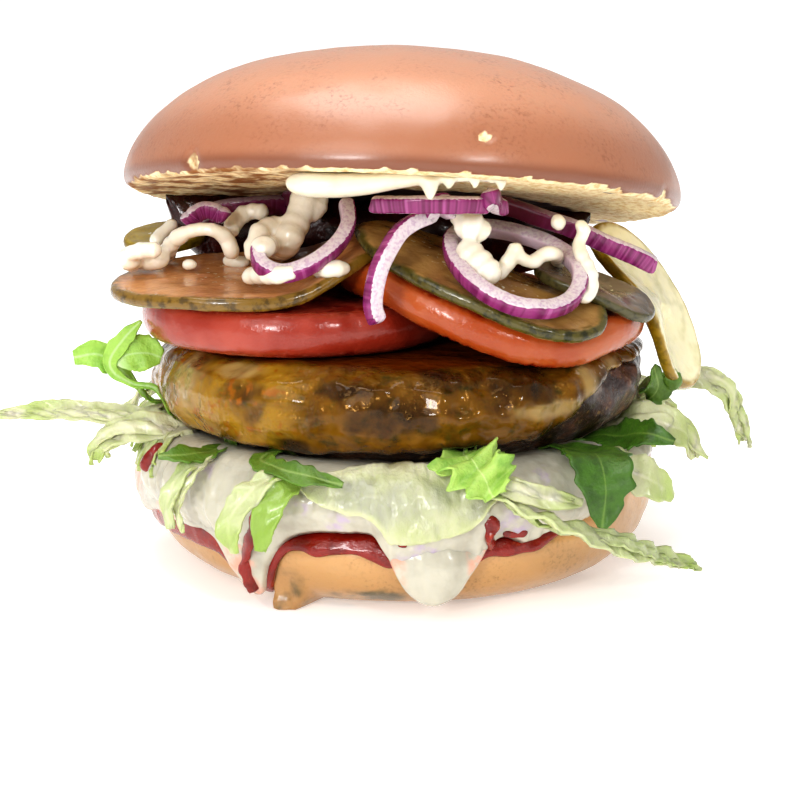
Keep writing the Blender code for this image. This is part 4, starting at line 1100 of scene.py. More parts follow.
def hanging_pickle(name, node, along, across, thickness, cover):
    """Fine oval slice on a slanted plane, at the middle of its solid wherever that bends."""
    long = Vector(along).normalized()
    wide = (Vector(across) - long * long.dot(Vector(across))).normalized()
    face = long.cross(wide)
    trees = tree_of(node)
    spots = [v.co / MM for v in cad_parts[node].data.vertices]
    ends = [(min(p.dot(way) for p in spots), max(p.dot(way) for p in spots)) for way in (long, wide, face)]
    centre = long * sum(ends[0]) / 2 + wide * sum(ends[1]) / 2
    half = ((ends[0][1] - ends[0][0]) / 2, (ends[1][1] - ends[1][0]) / 2)
    around = steps(160)

    def middle(a, b):
        spot = centre + long * a + wide * b
        near = first_hit(trees, spot + face * (ends[2][0] - 5), face)
        far = first_hit(trees, spot + face * (ends[2][1] + 5), -face)
        return None if near is None or far is None else (near + far).dot(face) / 2

    depths = {}
    for j in range(READINGS + 1):
        for k in range(around):
            turn = 2 * math.pi * k / around
            reach = READING_STEP * j + 0.01
            depths[j, k] = middle(half[0] * reach * math.cos(turn), half[1] * reach * math.sin(turn))
            if depths[j, k] is None:
                depths[j, k] = depths[j - 1, k] if j else sum(ends[2]) / 2

    def spot(place_on, k):
        share, level = place_on
        turn = 2 * math.pi * k / around
        row = min(float(READINGS), max(0.0, (share - 0.01) / READING_STEP))
        low = int(row)
        high = min(low + 1, READINGS)
        beside = [(k + m) % around for m in (-6, -3, 0, 3, 6)]
        depth = sum(depths[low, m] * (1 - row + low) + depths[high, m] * (row - low) for m in beside) / 5
        size = share * (1.0 + 0.03 * rough(math.cos(turn) * 2, math.sin(turn) * 2, half[0], 1.0))
        point = centre + (long * half[0] * math.cos(turn) + wide * half[1] * math.sin(turn)) * size
        point += face * depth
        return point + face * (thickness * level + 0.12 * rough(point.x, point.y, point.z, 2.0)), share

    mesh = woven(name, slice_rows(20, 10, 0.6 / half[1]), range(around), spot, ("radius",))
    return dress(place(name, mesh), cover, "pickle", node)


hanging_pickle("pickle_slice_right", "pickle_right", (0.56, 0, -0.83), (0.45, 0.85, 0.3), 2.8, pale_pickle)
hanging_pickle("pickle_slice_low", "pickle_low", (0.9, 0.1, -0.35), (0.1, 0.9, 0.3), 2.2,
               pickled_cucumber("grey pickled cucumber", "#7d6a56", "#5f5140", "#4f4a2a", "#2c2a12"))
hanging_pickle("pickle_slice_back", "pickle_back", (0.9, 0.3, 0.1), (0, 0.9, 0.2), 2.4,
               pickled_cucumber("mustard pickled cucumber", "#a08a30", "#8c7420", "#7a6414", "#5a4a10"))

# %% [markdown]
# ## Red onion
# A ring of red onion is a curved wall. Its outer side is purple skin, its two cut faces are
# white with fine lilac lines, and its inner side is pale lilac. The solid model has laid each
# ring on what carries it along one direction, so a ray along that direction finds where.

# %% Red onion
ONION_PUSH = Vector((0.0, -0.75, 0.65)).normalized()
ONION_SIDES = 20


def red_onion():
    """Red onion: purple outside, white cut faces with growth lines, lilac inside."""
    cover, tree, shader = finish("sliced red onion", Roughness=0.22, IOR=1.38, Subsurface_Weight=0.3,
                                 Subsurface_Scale=0.0015, Subsurface_Radius=(1.0, 0.6, 0.8), Coat_Weight=0.25,
                                 Coat_Roughness=0.12)
    lines = patches(tree, 0.7, 0.4, 0.7, 2.0, 2.0)
    skin = marked(tree, "skin", 0.35, 0.65)
    tinted(tree, shader, "#d9c2d0", (marked(tree, "cut", 0.3, 0.7), "#d8ccce"),
           (both(tree, lines, marked(tree, "cut")), "#c3a9bb"), (skin, "#8f3570"),
           (both(tree, skin, marked(tree, "stripe", 0.3, 1.0)), "#6d1c50"),
           (both(tree, skin, marked(tree, "stripe", 0.25, 0.0)), "#a9548e"),
           (marked(tree, "shade"), "#55152c"))
    relief(tree, shader, patches(tree, 0.9, 0.3, 0.7, 2.0, 8.0, (1, 1, 0.3)), 0.1, 0.5)
    return cover


onion = red_onion()


def resettle(path, tree, half):
    """Move a path to where the laid solid lies along its push."""
    pushes = []
    for point in path:
        start = point - ONION_PUSH * (half + 0.6)
        entry = first_hit(tree, start, ONION_PUSH)
        if entry is None or (entry - start).length > 30:
            pushes.append(pushes[-1] if pushes else 0.0)
            continue
        leave = first_hit(tree, entry + ONION_PUSH * 0.05, ONION_PUSH)
        thick = min(2 * half, (leave - entry).length) if leave is not None else 2 * half
        pushes.append(max(0.0, (entry - point).dot(ONION_PUSH) + 0.5 * thick))
    for _ in range(3):
        ends = [pushes[0]] + pushes + [pushes[-1]]
        pushes = [(a + 2 * b + c) / 4 for a, b, c in zip(ends, ends[1:], ends[2:])]
    return [point + ONION_PUSH * push for point, push in zip(path, pushes)]


def onion_path(points, closed):
    """Even samples of an onion's path, once round where it is a ring."""
    if not closed:
        return smooth_path(points, steps(90))
    count = steps(150)
    loop = [Vector(point) for point in points]
    whole = smooth_path(loop[-3:] + loop + loop[:3], (len(points) + 5) * 20 + 1)
    first = min(range(40), key=lambda k: (whole[k + 40] - loop[0]).length) + 40
    last = min(range(40), key=lambda k: (whole[first + len(points) * 20 - 20 + k] - loop[0]).length)
    whole = whole[first:first + len(points) * 20 - 20 + last]
    return [whole[int(k * len(whole) / count)] for k in range(count)]


def onion_piece(name, node, points, axis, width, thickness, closed=False, shade=(0.0, 0.0), flip=1.0):
    """Curved onion wall with rounded edges and marks for its skin and its cut faces."""
    path = resettle(onion_path(points, closed), tree_of(node), 0.5 * thickness + 0.3)
    dice = random.Random(len(points) + width)
    total = len(path)
    stations = []
    for k, point in enumerate(path):
        tangent = (path[(k + 1) % total] - path[k - 1]).normalized() if closed else heading(path, k)
        up = Vector(axis)
        up = (up - tangent * up.dot(tangent)).normalized()
        end = 0.0 if closed else 1.0 - quarter(min(1.0, min(k, total - 1 - k) / 3))
        half = 0.5 * width * (1.0 - 0.35 * end) * (1.0 + 0.05 * rough(k / 9, 0, len(name), 1.0))
        thick = 0.5 * thickness * (1.0 - 0.35 * end)
        stations.append((point, up, half, tangent.cross(up).normalized() * thick, k / total,
                         dice.random(), dice.uniform(0.2, 0.8)))

    def spot(station, i):
        point, up, half, out, share, stripe, border = station
        turn = 2 * math.pi * i / ONION_SIDES
        a, b = (math.copysign(abs(way) ** 0.45, way) for way in (math.cos(turn), math.sin(turn)))
        point = point + up * a * half + out * b
        skin = 1.0 if flip * b > 0.86 else border if flip * b > 0.6 else 0.0
        return (point + up * 0.06 * rough(point.x, point.y, point.z, 1.2), skin,
                1.0 if abs(a) > 0.8 else 0.0, shade[0] + (shade[1] - shade[0]) * share, stripe)

    mesh = woven(name, stations, range(ONION_SIDES), spot, ("skin", "cut", "shade", "stripe"), closed)
    return dress(place(name, mesh), onion, "onion", node)


# Path points, wall direction, wall width, thickness, shade at both ends and side of the skin
ONIONS = [
    ("onion_left", [(-11, -24, 77.0), (-10.5, -29, 73.0), (-13, -34, 69.5), (-18, -38, 66.5),
                    (-23, -38.5, 65.2), (-27, -37, 66.6), (-28, -33, 69.6)],
     (0.1, -0.62, 0.78), 3.4, 3.0, (0.3, 0.0), -1.0),
    ("onion_small", [(-43, -9, 66), (-39.5, -8, 68), (-35.5, -9, 67)],
     (0, -0.35, 0.9), 3.4, 2.2, (0.3, 0.3), 1.0),
    ("onion_strip", [(10, -33, 76.5), (4.4, -37, 75.8), (0.0, -41, 74.0), (-2.7, -44, 70.5),
                     (-4.6, -46, 66.5), (-5.5, -47, 61.0), (-4.5, -47, 57.0)],
     (0.45, -0.85, 0.2), 3.4, 3.2, (0.0, 0.0), 1.0),
    ("onion_top", [(-6, -38, 78.4), (1.5, -42, 79.0), (9, -42.5, 79.0), (15, -40, 78.6), (20, -35, 77.4)],
     (0, -0.2, 1.0), 3.2, 2.4, (0.2, 0.2), 1.0),
    ("onion_right", [(17, -21, 75.5), (24, -22, 74.4), (31, -22, 72.0), (39, -21, 68.6), (46.3, -19, 65.3),
                     (51.0, -17, 62.6)],
     (0, -0.35, 0.9), 3.6, 2.4, (1.2, -0.4), 1.0),
    ("onion_back", [(-45, 2, 68.0), (-38, -1, 71.5), (-31, -2, 72.6), (-24, -1, 72.8), (-18, 2, 72.0)],
     (0, -0.35, 0.9), 4.0, 2.4, (0.5, 0.8), 1.0),
]
RING = [(9.5, -27, 67.5), (10.4, -34, 63.0), (15, -41, 59.5), (22.5, -44, 57.8), (30, -42, 58.8),
        (34.2, -35, 61.5), (33.5, -27, 65.0), (28, -20, 68.0), (20, -17.5, 70.0), (13, -20, 70.0)]
onion_piece("onion_loop", "onion_ring", RING, (0.05, -0.62, 0.78), 3.2, 3.2, closed=True)
for label, points, axis, width, thickness, shade, flip in ONIONS:
    onion_piece(label + "_slice", label, points, axis, width, thickness, shade=shade, flip=flip)

# %% [markdown]
# ## White sauce on top
# The same sauce was squeezed over the toppings from a bottle: ropes about three millimetres
# thick that loop, stand up in arches and end in drops, and a band that the top bun has
# pressed out in front. Ropes are laid along lines of sight, on the piece under them or at a
# stated depth in the air between two places where they rest, and then flow together.

# %% White sauce on top
ROPE_UNEVEN = 0.26
ROPE_VOXEL = 0.4


def rope_mesh(path, radius, flat):
    """Closed tube along a path, with round ends and an uneven girth."""
    rings = []
    reach = reaches(path)
    for k, point in enumerate(path):
        tangent = heading(path, k)
        side = Vector((0, 0, 1)).cross(tangent)
        if side.length < 0.05:
            side = Vector((1, 0, 0)).cross(tangent)
        side.normalize()
        normal = tangent.cross(side).normalized()
        end = min(1.0, (min(reach[k], reach[-1] - reach[k]) + 0.1) / (1.2 * radius))
        girth = 1.0 + ROPE_UNEVEN * rough(k * 0.4, radius, path[0].x, 1.3)
        size = radius * quarter(end) * girth
        rings.append(oval(point, side * size, normal * size * flat, 12))
    return ring_mesh("rope", rings)


def laid_rope(trees, points, radius, flat, lift):
    """Rope through places given as picture column and row, with a depth where it is in the air."""
    path = []
    for column, row, depth in points:
        spot = None
        if depth is None:
            spot = first_hit(trees, CAMERA_PLACE, sight(column, row).normalized())
            if spot is not None:
                spot = spot + Vector(lift) * radius
        path.append(spot if spot is not None else seen(column, row, -20.0 if depth is None else depth))
    return rope_mesh(smooth_path(path, max(24, 8 * len(path))), radius, flat)


# Each rope: places as picture column, row and depth in millimetres, None where it lies on a piece, and
# then its radius
LEFT_ROPES = [
    ([(170, 264, None), (152, 266, None), (137, 264, None), (127, 260, None)], 2.6),
    ([(126, 258, None), (134, 252, None), (150, 250, None), (162, 251, None)], 1.9),
    ([(167, 262, None), (169, 248, -12), (176, 239, -15), (188, 232, -17), (203, 229, -18), (216, 231, -18),
      (226, 238, -17), (231, 250, -17), (232, 261, None)], 1.75),
    ([(230, 234, -12), (234, 223, -9), (244, 214, -8), (256, 211, -8), (268, 214, -9)], 1.9),
    ([(280, 222, -16), (266, 227, -19), (257, 236, -21), (253, 248, -22), (254, 261, -23)], 2.0),
    ([(306, 186, -14), (304, 200, -15), (300, 214, -16), (293, 228, -18), (286, 244, -20), (280, 256, None)],
     3.0),
    ([(318, 190, -13), (316, 204, -14), (308, 220, -16)], 2.6),
    ([(262, 255, None), (276, 251, None), (291, 247, None)], 2.6),
    ([(242, 285, None), (256, 281, None), (275, 281, None), (298, 277, None)], 2.1),
    ([(316, 276, None), (330, 274, None), (350, 273, None)], 1.8),
    ([(182, 269, None), (190, 268, None), (197, 269, None)], 1.3),
    ([(224, 264, None), (238, 266, None), (250, 266, None)], 1.5),
    ([(153, 244, -2), (160, 236, 0), (168, 228, 1), (176, 221, 2)], 1.6),
]
RIGHT_ROPES = [
    ([(462, 203, -34), (459, 210, -33), (461, 218, -33), (468, 227, -33)], 2.2),
    ([(457, 229, -33), (466, 227, -34), (477, 230, -34), (484, 236, -33)], 3.7),
    ([(461, 243, -36), (472, 255, -38), (484, 267, -40), (497, 281, -42)], 2.9),
    ([(492, 276, -38), (502, 270, -36), (510, 259, -36), (515, 248, -35), (520, 257, -35), (532, 262, -34),
      (543, 255, -32), (554, 254, -31), (560, 263, None)], 1.6),
    ([(577, 221, -27), (584, 231, -28), (579, 243, -29), (581, 254, -31), (588, 266, -33), (592, 280, -35),
      (591, 291, -36), (584, 297, -37), (572, 293, -38)], 1.4),
    ([(557, 214, -26), (558, 221, -26), (560, 230, -27)], 1.6),
]
# Red sauce on the torn tongue and on the white sauce, given in the same way
RED_STREAKS = [
    ([(264, 508, None), (257, 522, None), (250, 538, None), (246, 556, None), (249, 574, None),
      (257, 590, None)], 0.95),
    ([(166, 446, None), (157, 454, None), (149, 464, None), (145, 472, None)], 0.9),
    ([(190, 449, None), (184, 454, None), (179, 460, None)], 0.7),
    ([(498, 519, None), (492, 526, None), (489, 535, None), (493, 545, None)], 0.9),
    ([(503, 531, None), (514, 534, None), (528, 531, None)], 0.55),
    ([(408, 523, None), (404, 534, None), (400, 548, None)], 0.7),
]


def make_drizzle(name, ropes, trees, cover=mayo, slot="mayo", flat=0.9, lift=(0, 0, 0.55)):
    """Let a group of ropes flow together over the pieces that carry them."""
    bodies = [laid_rope(trees, points, radius, flat, lift) for points, radius in ropes]
    return dress(melt(name, bodies, ROPE_VOXEL, 5), cover, slot)


make_drizzle("sauce_left", LEFT_ROPES, tree_of("pickle_left", "onion_left", "tomato_left"))
make_drizzle("sauce_right", RIGHT_ROPES, tree_of("onion_ring", "pickle_middle", "onion_right", "pickle_low"))

# %% [markdown]
# The band under the top bun is one flat cushion of sauce with short pointed drops along its
# lower edge. Its ends lie against the crumb.

# %% The band under the top bun
BAND_PATH = [(289, 183, -46), (300, 184, -47.5), (320, 185, -48.5), (345, 185, -49), (370, 183, -49),
             (395, 180, -49), (415, 178, -49), (440, 177, -48.5), (465, 176, -48), (485, 177, -47),
             (500, 179, -45.5)]
# Share of the way along the band and its half height there
BAND_GIRTH = [(0.0, 1.9), (0.12, 2.3), (0.35, 2.1), (0.5, 1.7), (0.65, 1.3), (0.85, 1.0), (1.0, 0.8)]
# Column, top row, tip row, depth and radius of each hanging drop
BAND_DROPS = [(429, 178, 200, -49.5, 2.0), (448, 177, 189, -49.5, 1.5), (474, 177, 189, -49, 1.2),
              (491, 177, 184, -48, 1.0), (500, 178, 191, -47, 1.3), (400, 180, 187, -49.5, 1.8)]


def make_band():
    """Squeezed band with hanging drops."""
    path = smooth_path([seen(*spot) for spot in BAND_PATH], 60)
    rings = []
    for k, point in enumerate(path):
        share = k / (len(path) - 1)
        tangent = heading(path, k)
        up = (Vector((0, 0.15, 1)) - tangent * tangent.z).normalized()
        out = tangent.cross(up).normalized()
        size = soft(BAND_GIRTH, share) * quarter(min(1.0, (min(k, len(path) - 1 - k) + 0.3) / 5))
        rings.append(oval(point, up * size * 1.05, out * size * 1.4, 16))
    bodies = [ring_mesh("band", rings)]
    for column, high, low, depth, radius in BAND_DROPS:
        middle = 0.5 * (high + low)
        fine = smooth_path([seen(column, high, depth), seen(column + 1, middle, depth),
                            seen(column + 1, low, depth)], 12)
        sizes = [radius * (1.0 - 0.75 * (k / 11) ** 1.5) for k in range(12)]
        bodies.append(ring_mesh("drop", [oval(point, Vector((size, 0, 0)), Vector((0, size, 0)), 12)
                                         for point, size in zip(fine, sizes)]))
    return dress(melt("sauce_band", bodies, ROPE_VOXEL, 4), pressed_mayo, "mayo", "mayo_crown")


make_band()

# %% [markdown]
# ## The top bun
# The dome is turned from one profile and leans back. Its crust ends in a torn edge, and
# below that the cut crumb shows. Three small tears in the crust are placed where the picture
# shows them.

# %% The top bun
CROWN_RADIUS = 57.0
CROWN_CENTRE = (0.0, 0.0, 73.7)
CROWN_TILT = -13.8
CROWN_ROLL = 2.6
CROWN_PROFILE = [(0.01, 0.6), (0.1, 0.6), (0.5, 0.5), (0.86, 0.0), (0.965, -0.3), (0.995, 0.7), (1.0, 3.0),
                 (0.985, 6.5), (0.945, 11.0), (0.875, 15.6), (0.775, 20.2), (0.63, 24.4), (0.45, 27.6),
                 (0.24, 29.6), (0.07, 30.2), (0.01, 30.25)]
# Column and row in the picture, radius and depth in millimetres
CRUST_TEARS = [(193, 160, 2.2, 0.9), (485, 137, 1.8, 0.6), (662, 196, 2.0, 0.5)]


def crown_lean():
    """How the top bun leans: a roll to its side and a tilt to the back."""
    return (Matrix.Rotation(math.radians(CROWN_ROLL), 4, "Y")
            @ Matrix.Rotation(math.radians(CROWN_TILT), 4, "X"))


def crust_tears():
    """Centre, radius and depth of each tear, on the solid's dome."""
    dome = tree_of("crown")
    found = [(first_hit(dome, CAMERA_PLACE, sight(column, row).normalized()), radius, depth)
             for column, row, radius, depth in CRUST_TEARS]
    return [tear for tear in found if tear[0] is not None]


def crumb_share(low, angle):
    """How far the crumb shows instead of the crust at a place of the profile."""
    if low.y > 8:
        return 0.0
    if low.x < 0.9 * CROWN_RADIUS and low.y < 2:
        return 1.0
    edge = 0.2 + 0.9 * ease(18, 55, abs(angle + 4)) * rough(angle / 9, 2.0, 0.0, 1.0)
    edge += 0.5 * rough(angle / 2.5, 5.0, 0.0, 1.0)
    return 1.0 - ease(edge - 0.25, edge + 0.25, low.y)


def make_crown():
    """Top bun with a torn rim, crumb underneath and small tears."""
    profile = smooth_path([(share * CROWN_RADIUS, height, 0) for share, height in CROWN_PROFILE], steps(170))
    lean = crown_lean()
    home = Matrix.Translation(Vector(CROWN_CENTRE)) @ lean
    tears = crust_tears()

    def spot(low, angle):
        turn = math.radians(angle)
        size = 1.0 + 0.012 * rough(math.sin(turn) * 2, math.cos(turn) * 2, 1, 1.1)
        point = polar(low.x * size, angle, low.y)
        outward = polar(low.x / CROWN_RADIUS, angle, max(0.0, low.y / 18)).normalized()
        crumb = crumb_share(low, angle)
        if low.y < 2 and low.x < 0.97 * CROWN_RADIUS:
            point.z += 0.3 * grain(point, 4.0, 3)
        else:
            lumps = 0.35 * rough(point.x, point.y, point.z, 19) + 0.1 * rough(point.x, point.y, point.z, 5)
            pits = 0.35 * grain(point, 3.4, 3) - 0.35
            point += outward * (lumps * (1 - crumb) + pits * crumb)
        whole = home @ point
        for centre, radius, depth in tears:
            away = (whole - centre).length / radius
            if away < 1.6:
                bite = 1.0 - ease(0.55, 1.1, away + 0.35 * rough(whole.x, whole.y, whole.z, 1.1))
                whole -= (lean.to_3x3() @ outward) * depth * bite
                crumb = max(crumb, 0.75 * bite)
        # Darker towards the cut edge: partly a browned rim, partly painted shade on the bun's lower side
        rim = 0.6 * (1.0 - ease(5.0, 20.0, low.y)) + 0.4 * (1.0 - ease(0.5, 4.5, low.y))
        # Crumb behind the toppings painted near black: partly seeped sauce, partly painted shade
        away = math.hypot(whole.x - 5, whole.y - 15) + 3 * rough(whole.x, whole.y, 4.0, 6.0)
        soaked = (1.0 - ease(27, 36, away)) * (1.0 - ease(1.0, 2.0, low.y))
        toast = ease(-12, -26, whole.x) + 0.8 * ease(52, 56, whole.x)
        return whole, crumb, rim if low.y > 0 else 1.0, soaked, toast

    mesh = woven("top_bun", profile, directions(steps(360)), spot, ("crumb", "down", "soaked", "toast"))
    return dress(place("top_bun", mesh), top_crust, "bun_crust", "crown")


make_crown()

# %% [markdown]
# ## Sauce with painted shade under the top bun
# Behind the toppings the picture shows no daylight. Red sauce has seeped into the crumb of the
# top bun there and stands as a lumpy ridge between bun and tomatoes, in the shade. Its colour
# is near black: sauce with painted shade.

# %% Sauce with painted shade under the top bun
RIDGE_LEFT = -50.0
RIDGE_RIGHT = 40.0
RIDGE_DEPTH = 13.0
RIDGE_FLOOR = 54.8


def crumb_plane(x, y):
    """Height of the top bun's cut face."""
    normal = crown_lean().to_3x3() @ Vector((0, 0, 1))
    return CROWN_CENTRE[2] - (normal.x * x + normal.y * y) / normal.z


def make_ridge():
    """Ridge of sauce, near black with painted shade, between the crumb and the tomatoes."""
    rings = []
    count = steps(60)
    for k in range(count + 1):
        share = k / count
        x = RIDGE_LEFT + (RIDGE_RIGHT - RIDGE_LEFT) * share
        full = math.sqrt(max(0.02, 1.0 - abs(2 * share - 1) ** 5))
        thick = (4.6 + 1.0 * rough(x, 5.0, 0.0, 6.0)) * full
        y = RIDGE_DEPTH + 2.0 * rough(x, 9.0, 0.0, 14.0)
        top = crumb_plane(x, y) + 0.8
        floor = top - (top - RIDGE_FLOOR) * full
        rings.append([Vector((x, y + (thick + 0.8 * rough(x, i, 3.0, 2.5)) * math.cos(math.pi * i / 14),
                              (top + floor) / 2 + (top - floor) / 2 * math.sin(math.pi * i / 14)))
                      for i in range(28)])
    return dress(place("sauce_ridge_with_painted_shade", ring_mesh("sauce_ridge_with_painted_shade", rings)), dark_ketchup, "ketchup")


make_ridge()

# %% [markdown]
# ## Leaves
# A leaf is a thin sheet that follows its midrib, with waves across it. Rocket leaves have a
# narrow stalk and rounded lobes, and a pale rib. Each sheet is a grid along a path, pushed
# clear of the layers around it and then thickened evenly.

# %% Leaf sheets


def push_off(spot, trees, room):
    """Move a point until it keeps some room from the surfaces around it."""
    for _ in range(3):
        for tree in trees:
            near, outward, _, distance = tree.find_nearest(spot * MM)
            if near is None:
                continue
            depth = (spot - near / MM).dot(outward)
            apart = distance / MM if depth >= 0 else -distance / MM
            if -4.0 < apart < room:
                spot = near / MM + outward * room
    return spot


def side_frames(path, hint, flat_start=True):
    """Side and normal direction at each point of a path, lying flat at first where asked."""
    result = []
    for k in range(len(path)):
        tangent = heading(path, k)
        face = Vector(hint).normalized()
        if flat_start:
            face = Vector((0, 0, 1)).lerp(face, ease(0.2, 0.6, k / (len(path) - 1)))
        side = face.cross(tangent)
        if side.length < 1e-4:
            side = Vector((1, 0, 0)).cross(tangent)
        side.normalize()
        result.append((side, tangent.cross(side).normalized()))
    return result


def sheet_mesh(points, widths, hint, thickness, wave, curl, around, lobes=0.0, seed=0.0, count=40, across=10,
               flat_start=True, wave_length=5.0, green=0.0, jag=0.18):
    """Thin wavy sheet along a path, with marks for its rib and for how far along it a point lies."""
    length = steps(count)
    path = smooth_path(points, length)
    turns = side_frames(path, hint, flat_start)
    waves = 2 * math.pi * reaches(path)[-1] / wave_length
    top = []
    rib = []
    along = []
    for k, (point, (side, normal)) in enumerate(zip(path, turns)):
        share = k / (length - 1)
        half = 0.5 * max(0.3, soft(widths, share))
        bays = 0.5 + 0.5 * math.cos(2 * math.pi * (3.2 * share + seed))
        notch = 1.0 - lobes * bays * ease(0.3, 0.5, share)
        for i in range(across + 1):
            column = 2.0 * i / across - 1.0
            ragged = rough(share * (14 + 24 * jag), math.copysign(2, column), seed, 1.0)
            frill = 1.0 + jag * ragged * column * column
            ripple = wave * math.sin(waves * share + 2.6 * column + seed * 9)
            bend = ripple * (0.35 + 0.65 * abs(column)) + curl * column * column * half
            spot = point + side * half * column * notch * frill + normal * bend
            spot = push_off(spot, around, 0.5 * thickness + 0.35)
            top.append((spot, normal))
            rib.append(1.0 - ease(0.0, 0.28, abs(column) * half / 3.0))
            along.append(share)
    marks = {"rib": rib, "along": along, "green": [green] * len(rib)}
    return thicken(top, length, across + 1, thickness, marks)


def thicken(top, rows, columns, thickness, marks):
    """Closed sheet from a grid of points: two faces and a rim between them."""
    spots = [spot for spot, normal in top]
    normals = []
    for k in range(rows):
        for i in range(columns):
            ahead = spots[min(k + 1, rows - 1) * columns + i] - spots[max(k - 1, 0) * columns + i]
            aside = spots[k * columns + min(i + 1, columns - 1)] - spots[k * columns + max(i - 1, 0)]
            normal = ahead.cross(aside)
            normals.append(normal.normalized() if normal.length > 1e-9 else top[k * columns + i][1])
    points = [s + n * 0.5 * thickness for s, n in zip(spots, normals)]
    points += [s - n * 0.5 * thickness for s, n in zip(spots, normals)]
    size = rows * columns
    faces = []
    for k in range(rows - 1):
        for i in range(columns - 1):
            a = k * columns + i
            b = a + columns
            faces.append((a, a + 1, b + 1, b))
            faces.append((size + a, size + b, size + b + 1, size + a + 1))
    rim = [k * columns for k in range(rows)] + [(rows - 1) * columns + i for i in range(1, columns)]
    rim += [k * columns + columns - 1 for k in reversed(range(rows - 1))]
    rim += reversed(range(1, columns - 1))
    for a, b in zip(rim, rim[1:] + rim[:1]):
        faces.append((a, b, size + b, size + a))
    doubled = {mark: values + values for mark, values in marks.items()}
    return raw_mesh("sheet", points, faces, doubled)


print("sheet tools ready")

# %% Leaf finishes


def green_leaf(name, blade, deep, pale):
    """Rocket or lettuce leaf: soft wax over green cells, pale along the rib."""
    cover, tree, shader = finish(name, Roughness=0.4, IOR=1.42, Subsurface_Weight=0.25,
                                 Subsurface_Scale=0.0012, Subsurface_Radius=(0.6, 1.0, 0.3),
                                 Coat_Weight=0.1, Coat_Roughness=0.3)
    tinted(tree, shader, blade, (patches(tree, 4.0, 0.4, 0.7), deep), (marked(tree, "rib", 0.5, 1.4), pale),
           (marked(tree, "along", 0.35, 0.0), pale))
    relief(tree, shader, patches(tree, 1.0, 0.3, 0.7, 3.0, 2.0), 0.15, 0.6)
    return cover


def pale_lettuce():
    """Iceberg heart, shredded: nearly white, wet and half see-through, greener at the tips."""
    cover, tree, shader = finish("shredded iceberg heart", Roughness=0.28, IOR=1.38, Subsurface_Weight=0.4,
                                 Subsurface_Scale=0.0015, Subsurface_Radius=(0.8, 1.0, 0.4),
                                 Coat_Weight=0.25, Coat_Roughness=0.15)
    tips = both(tree, marked(tree, "along", 0.55, 1.0), patches(tree, 8.0, 0.35, 0.6, 2.0, 3.0))
    tinted(tree, shader, "#c4c4a0", (patches(tree, 6.0, 0.4, 0.7), "#b6ba8c"),
           (marked(tree, "rib", 0.2, 1.0), "#d0ceae"), (tips, "#a4b566"),
           (patches(tree, 9.0, 0.6, 0.75, 2.0, 5.0), "#aea986"), (marked(tree, "green"), "#86a342"),
           (both(tree, marked(tree, "wet"), patches(tree, 9.0, 0.35, 0.7, 1.0, 21.0)), "#a5a68e"))
    relief(tree, shader, patches(tree, 1.4, 0.3, 0.7, 3.0, 2.0, (1, 1, 0.5)), 0.2, 0.6)
    return cover


rocket = green_leaf("rocket leaf", "#5c7c2a", "#48661e", "#98ae64")
rocket_dark = green_leaf("dark rocket leaf", "#42661c", "#2e4c12", "#748e40")
rocket_light = green_leaf("backlit rocket leaf", "#98bf50", "#82ac44", "#bed4a0")
frilly = green_leaf("frilly lettuce leaf", "#a6c462", "#7fa844", "#cfe09a")
iceberg = pale_lettuce()
print("leaf finishes:", rocket.name, frilly.name, iceberg.name)

# %% The green leaves
STALK_DROP = 1.25
